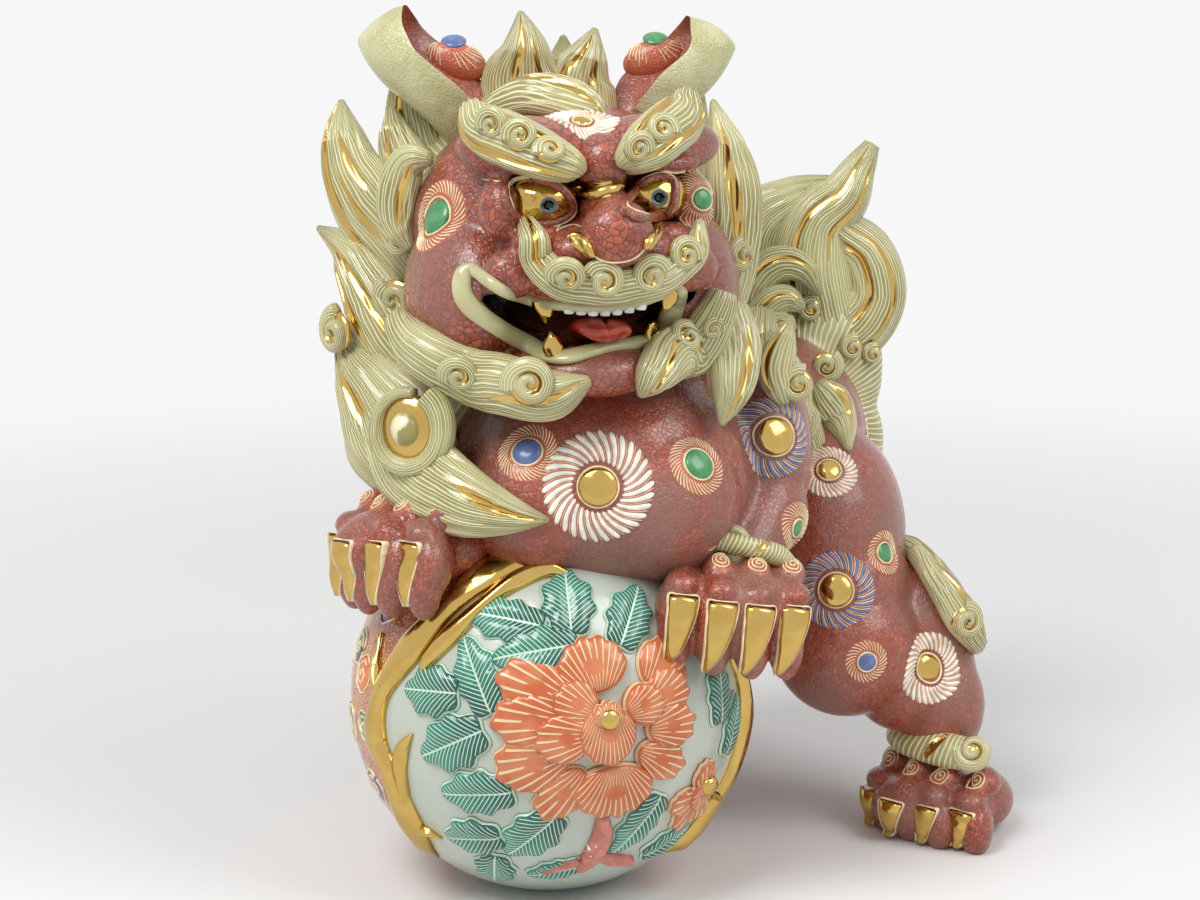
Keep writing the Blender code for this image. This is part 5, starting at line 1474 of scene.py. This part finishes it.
# The paws are pressed in moulds, with two rows of knuckles, and luted to the wrists. Gilt
# claws hang from the toes, and a slip spiral is trailed on each upper knuckle.
PAW_WIDTH, PAW_HEIGHT = 70, 42
TOE_PITCH = PAW_WIDTH / 4.1
SOLE_ROUNDING = 10
CLAW_LEANS = [0, -0.2, -0.6, -1.2, -2.2, -3.6]
paws = {
    "front_paw_left": (Matrix.Translation(on_ball(62, 22, 6)) @ turned("Z", 8) @ turned("Y", 8), 1.3),
    "front_paw_right": (
        Matrix.Translation(on_ball(-54, 41, 4)) @ turned("Z", -48) @ turned("Y", -6), 1.15),
    "hind_paw_left": (Matrix.Translation(place(169.7, 24, -4)) @ turned("Z", -40), 1.0),
    "hind_paw_right": (Matrix.Translation(place(2, 149.2, -4)) @ turned("Z", -20), 1.0),
}


def toe_spots():
    """Where each toe lies across the paw and how far it stands back, in millimetres."""
    for toe in range(4):
        yield (toe - 1.5) * TOE_PITCH, 5 * abs(toe - 1.5) - 2.5


PAW_RED = red_glaze("paw_red_glaze", 2.6, 0.65, (0.14, 0.03, 0.024, 1))
paw_pieces = {}
for name, (pose, reach) in paws.items():
    hind = "hind" in name
    high = PAW_HEIGHT
    turn_only = pose.to_3x3()
    lumps = [((0, 10, 0.44 * high), (0.46 * PAW_WIDTH, 27, 0.46 * high), 0),
             ((0, -4, 0.46 * high), (0.46 * PAW_WIDTH, 24, 0.44 * high), 0)]
    for x, back in toe_spots():
        lumps += [((x, back - 13, 0.36 * high), (9.6, 17.5, 0.37 * high), 0),
                  ((x, back - 18, 0.68 * high), (8.2, 9.5, 6.5), 0),
                  ((x, back - 4, 0.83 * high), (8.0, 11, 8.0), 0)]
        if not hind:
            lumps.append(((x, back - 19, 0.14 * high), (8.4, 11, 0.40 * high), 0))
    paw = press(name, lumps, 1.5, 6, lambda x, y, z, pose=pose: pose @ (Vector((x, y, z)) * MM))
    if hind:
        co = points_of(paw)
        co[:, 2] = np.maximum(co[:, 2], FOOT_LEVEL)
        move_points(paw, co)
    paw_skin = skin_of(paw)
    paw_pieces[name] = finished(paw, name + "_skin", PAW_RED, "red_glaze", [name])
    toward = turn_only @ Vector((0, 1, 0))

    def on_toe(x, z, back, lift):
        """The front of the toe at a place across and up the paw."""
        level = max(z, SOLE_ROUNDING) if hind else z
        hit, _, _, _ = paw_skin.ray_cast(pose @ (Vector((x, -90, level)) * MM), toward, 90 * MM)
        if hit is None or (hit - pose @ (Vector((x, back - 29, level)) * MM)).length > 14 * MM:
            hit = pose @ (Vector((x, back - 24, level)) * MM)
        return hit + Vector((0, 0, z - level)) * MM - toward * lift * MM

    claws, rims, whorls, red_spots = [], [], [], []
    sizes = [6.6, 6.1, 5.1, 4.0, 2.9, 1.8] if hind else [6.6, 6.3, 5.6, 4.4, 3.0, 0.9]
    aside = turn_only @ Vector((1, 0, 0)) * MM
    front = tuple(turn_only @ Vector((0, -1, 0.1)))
    away = tuple(turn_only @ Vector((0, -0.62, 0.78)))
    for toe, (x, back) in enumerate(toe_spots()):
        top = 0.60 * high
        heights = np.linspace(top, 5.6 if hind else top - 25 * reach, 6)
        path = [on_toe(x, z, back, 0.2) + aside * lean for lean, z in zip(CLAW_LEANS, heights)]
        claws.append(flame(path, sizes, 5.4, front, detail=(24, 24)))
        rim_path = [on_toe(x, z, back, -1.3) + aside * lean for lean, z in zip(CLAW_LEANS, heights)]
        edge = [spot - aside * (half + 0.3) for spot, half in zip(rim_path, sizes)][::-1]
        edge += [rim_path[0] + aside * share + Vector((0, 0, 0.6)) * MM for share in (-3.4, 0, 3.4)]
        edge += [spot + aside * (half + 0.3) for spot, half in zip(rim_path, sizes)]
        rims.append(flame(edge, [0.4] * len(edge), 4.8, front, detail=(8, 60)))
        middle = Vector((x, back - (13 if hind else 10.5), 0.83 * high + (4 if hind else 6.5)))
        swirl = []
        for i in range(26):
            share = i / 25
            angle = share * 2 * math.pi * 2.6 + toe
            spot = spoke(Vector((1, 0, 0)), Vector((0, 0.78, 0.62)), angle)
            spot = pose @ ((middle + spot * (5.2 * (1 - share) + 0.5)) * MM)
            hit, out, _, _ = paw_skin.find_nearest(spot)
            swirl.append(hit + out * 0.2 * MM)
        red_spots.append(swirl[-1])
        whorls.append(flame(swirl, [0.3] + [0.36] * 25, 1.2, away, detail=(8, 90)))
    co = points_of(paw)
    far = [np.linalg.norm(co - np.array(spot), axis=1) / MM for spot in red_spots]
    mark(paw, "ground", (6.4 - np.min(far, axis=0)) / 4)
    finished(claws, name + "_claws", GOLD, "gilt")
    finished(rims + whorls, name + "_slip", SLIP_CREAM, "cream_glaze")


# Tufts of cream hair are luted round the wrist, the ankles and the hock. Each ends in a
# snail curl, and gold lines its valleys.
TUFT_BASE = PAW_HEIGHT + 4
ANKLE = [(-31, 17, 5), (-21, -3, 5), (0, -9, 4.5), (18, -7, 4), (26, -1, 4)]
WRIST = [(-22, 4, 0), (-8, -1, 1), (6, -3, 0), (19, 0, -3), (27, 3, -9)]
tufts = {
    "wrist_tuft_left": ("front_paw_left", WRIST, [6, 4.6, 4.6, 5, 2.5], (-17, -5, 4), 7.0),
    "ankle_tuft_left": ("hind_paw_left", ANKLE, [4, 8.5, 9, 8.5, 6], (24, -8, 6.5), 9.5),
    "ankle_tuft_right": ("hind_paw_right", ANKLE, [4, 8.5, 9, 8.5, 6], (24, -8, 6.5), 9.5),
}
for name, (paw_name, route, sizes, curl_spot, size) in tufts.items():
    pose = paws[paw_name][0]
    path = [pose @ (Vector((x, y, z + TUFT_BASE)) * MM) for x, y, z in route]
    front = pose.to_3x3() @ Vector((0.2, -1, 0.7))
    band = [(0.5, 0.62, -0.8, 0.8, 0.5, 1.0)]
    parts = [flame(path, sizes, 11, tuple(front), band, detail=(48, 56), bound=30)]
    spot = pose @ ((Vector(curl_spot) + Vector((0, 0, TUFT_BASE))) * MM)
    parts += snail(spot, pose.to_3x3() @ Vector((0.3, -1, 0.6)), size, 1.6, 180, 1)
    if "wrist" in name:
        wrist_skin = skin_of(body, paw_pieces["front_paw_left"])
        parts += curl_at(729, 543, 22, 1, 180, 3.5, 1.6, wrist_skin, 0, (0.1, -1, 0.35))
    luted(parts, name)
hock_line = [(914, 560), (925, 574), (940, 594), (956, 618), (968, 640), (974, 650)]
path, facing = on_face(hock_line, 4.0, body_skin, 60)
facing = [(0.6, -1, 0.2)] * len(path)
valley = [(0.15, 0.97, 0.55, 0.6, 0.2, 0.6)]
parts = [flame(path, [5.5, 5.5, 8, 10, 6, 1], 11, facing, valley, 5, 0.5)]
parts += curl_at(956, 620, 20, -1, 90, 8.0, 1.5, body_skin, 60, (0.5, -1, 0.2))
behind_hock = [place(*spot) for spot in (
    (150, 64, 140), (165, 60, 128), (180, 56, 108), (184, 52, 88))]
parts.append(flame(behind_hock, [4, 10, 11, 4], 13, (1, -0.3, 0.3), [], 5, 0.6))
luted(parts, "hock_tuft_left")


# The tail is a cast root that carries a plume of pressed flames. They sweep up and fold
# over, with gilt valleys and snail curls round their foot.
RUMP = (82.8, 94.5, 188)


def tail_at(x, y, z):
    return place(RUMP[0] + x, RUMP[1] + y, RUMP[2] + z)


root = press("tail_root", [((28, 28, 30), (37, 26, 50), 0), ((38, 24, -8), (28, 22, 34), 0),
                           ((14, 16, 26), (30, 24, 30), 0)], 2.5, 5, tail_at)
comb(root, tail_at(20, 20, 10), (0, -1, 0), 90)
root_skin = skin_of(root, body)
path, _ = on_face([(812, 386), (826, 402), (838, 424), (848, 452)], 1.5, root_skin, 60)
valley = [(0.1, 0.9, 0.7, 0.4, 0.2, 2.0)]
root_parts = [root, flame(path, [5, 11, 9, 1.5], 15, (0.2, -1, 0.2), valley, 5, 0.6)]
for u, v, size, hand in ((809, 309, 15, 1), (824, 366, 18, -1), (851, 348, 14, 1), (871, 354, 12, 1)):
    root_parts += curl_at(u, v, size, hand, 60, 3.0, 1.5, root_skin, 90, (0.15, -1, 0.1))
luted(root_parts, "tail_root", "_cast")
plumes = {
    "tail_plume": (
        [([(22, 26, 36), (6, 28, 66), (2, 30, 98), (18, 30, 116), (38, 28, 127)],
          [22, 28, 24, 15, 4], 28, [(0.2, 0.98, -0.72, -0.5, 0.09, 3.0)]),
         ([(34, 20, 46), (26, 20, 78), (27, 22, 104), (42, 25, 119), (50, 27, 134), (57, 28, 147)],
          [20, 22, 18, 14, 9, 4], 26,
          [(0.1, 0.97, 0.55, 0.3, 0.10, 3.0), (0.25, 0.9, -0.35, -0.5, 0.10, 2.6)])],
        []),
    "tail_side": (
        [([(26, 22, 44), (46, 22, 50), (59, 24, 68), (54, 26, 90), (38, 27, 103), (33, 27, 116)],
          [13, 18, 17, 15, 12, 4], 26,
          [(0.06, 0.96, 0.35, 0.2, 0.12, 3.2), (0.1, 0.8, -0.5, -0.4, 0.08, 1.8)])], []),
    "tail_fold": (
        [([(-4, -22, 66), (-4, -38, 46), (6, -48, 24), (18, -52, 2), (24, -52, -14)],
          [8, 15, 16, 12, 2], 22, [(0.1, 0.95, 0.1, -0.3, 0.14, 2.4)])],
        [((-2, -50, 44), (0, -1, 0.2), 11, 1.5, 60, 1),
         ((14, -60, 18), (0.2, -1, 0.2), 10, 1.5, 60, -1)]),
}
for name, (flames_there, curls_there) in plumes.items():
    parts = []
    for route, sizes, thickness, grooves in flames_there:
        route = [tail_at(*spot) for spot in route]
        parts.append(flame(route, sizes, thickness, (0.1, -1, 0), grooves, 7, 0.8, (72, 64)))
    for spot, facing, size, turns, start, hand in curls_there:
        parts += snail(tail_at(*spot), facing, size, turns, start, hand)
    if name == "tail_fold":
        facing = (0.1, -1, 0.15)
        plume_front = tail_at(20, 0, 80)
        for line, sizes, back, valley in (
                ([(742, 352), (743, 316), (754, 284), (778, 264), (804, 270), (820, 296)],
                 [4, 8, 9.5, 9.5, 7, 2], 1, (0.1, 0.95, 0.5, 0.2, 0.16, 2.0)),
                ([(750, 372), (753, 340), (765, 312), (786, 300), (804, 310)],
                 [4, 9, 10, 8, 2], -5, (0.1, 0.9, 0.3, 0.45, 0.14, 2.0)),
                ([(762, 372), (768, 348), (778, 328), (796, 322)],
                 [4, 9, 9, 3], -11, (0.1, 0.9, 0.2, 0.4, 0.12, 1.6))):
            arch = [beside(plume_front, u, v, back) for u, v in line]
            parts.append(flame(arch, sizes, 15, facing, [valley], 5, 0.8, (48, 56)))
        horn_foot, _ = seen(782, 392, body_skin)
        horn = [beside(horn_foot, *spot) for spot in (
            (784, 404, 1), (779, 388, -3), (776, 368, -3), (782, 344, -1), (790, 321, 2))]
        valley = [(0.25, 0.95, 0.72, 0.6, 0.16, 1.6)]
        parts.append(flame(horn, [2, 7, 8.5, 7, 1.5], 13, facing, valley, 5, 0.6, (48, 56)))
        parts += snail(beside(horn_foot, 798, 385, -5), (0.1, -1, 0.2), 8.5, 1.5, 60, 1)
    luted(parts, name)


# The studio: plain pale paper that runs back without an edge, two soft lamps high up and a
# camera that looks down a little.
PAPER = (0.93, 0.93, 0.93, 1)
FLOOR_GREY = (0.8, 0.8, 0.8, 1)
FADE_START, FADE_END = 0.35, 1.3
ROOM_LIGHT = 0.45


def paper_seen(tree):
    """One where the eye, a mirror or clear glass sees the paper itself."""
    path = node(tree, "ShaderNodeLightPath").outputs
    seen_there = maths(tree, "MAXIMUM", path["Is Camera Ray"], path["Is Glossy Ray"])
    return maths(tree, "MAXIMUM", seen_there, path["Is Transmission Ray"])


bpy.ops.mesh.primitive_plane_add(size=6, location=(0, 0, 0))
floor = bpy.context.object
floor.name = "studio_floor"
paper = bpy.data.materials.new("pale_floor")
paper.use_nodes = True
tree = paper.node_tree
ground = tree.nodes["Principled BSDF"]
ground.inputs["Base Color"].default_value = FLOOR_GREY
ground.inputs["Roughness"].default_value = 0.7
away = node(tree, "ShaderNodeVectorMath", {0: spots(tree)}, operation="LENGTH").outputs["Value"]
share = times(tree, step(tree, away, FADE_START, FADE_END), paper_seen(tree))
glow = node(tree, "ShaderNodeEmission", {"Color": PAPER})
mixed = node(tree, "ShaderNodeMixShader", {0: share, 1: ground.outputs[0], 2: glow.outputs[0]})
tree.links.new(mixed.outputs[0], tree.nodes["Material Output"].inputs[0])
floor.data.materials.append(paper)
bpy.ops.object.camera_add(location=VIEW_FROM)
camera = bpy.context.object
camera.rotation_euler = (VIEW_AT - VIEW_FROM).to_track_quat("-Z", "Y").to_euler()
camera.data.lens = VIEW_LENS
bpy.context.scene.camera = camera
for where, power, size in (((-0.8, -0.9, 1.7), 27, 0.9), ((1.0, -0.6, 1.3), 11, 0.9)):
    bpy.ops.object.light_add(type="AREA", location=where)
    lamp = bpy.context.object
    lamp.data.energy = power
    lamp.data.size = size
    lamp.rotation_euler = (Vector((0, 0, 0.2)) - lamp.location).to_track_quat("-Z", "Y").to_euler()
world = bpy.data.worlds.new("soft_room")
bpy.context.scene.world = world
world.use_nodes = True
tree = world.node_tree
room = tree.nodes["Background"]
room.inputs["Color"].default_value = (1, 1, 1, 1)
room.inputs["Strength"].default_value = ROOM_LIGHT
backdrop = node(tree, "ShaderNodeBackground", {"Color": PAPER})
mixed = node(tree, "ShaderNodeMixShader",
             {0: paper_seen(tree), 1: room.outputs[0], 2: backdrop.outputs[0]})
tree.links.new(mixed.outputs[0], tree.nodes["World Output"].inputs[0])
bpy.context.scene.view_settings.view_transform = "Standard"
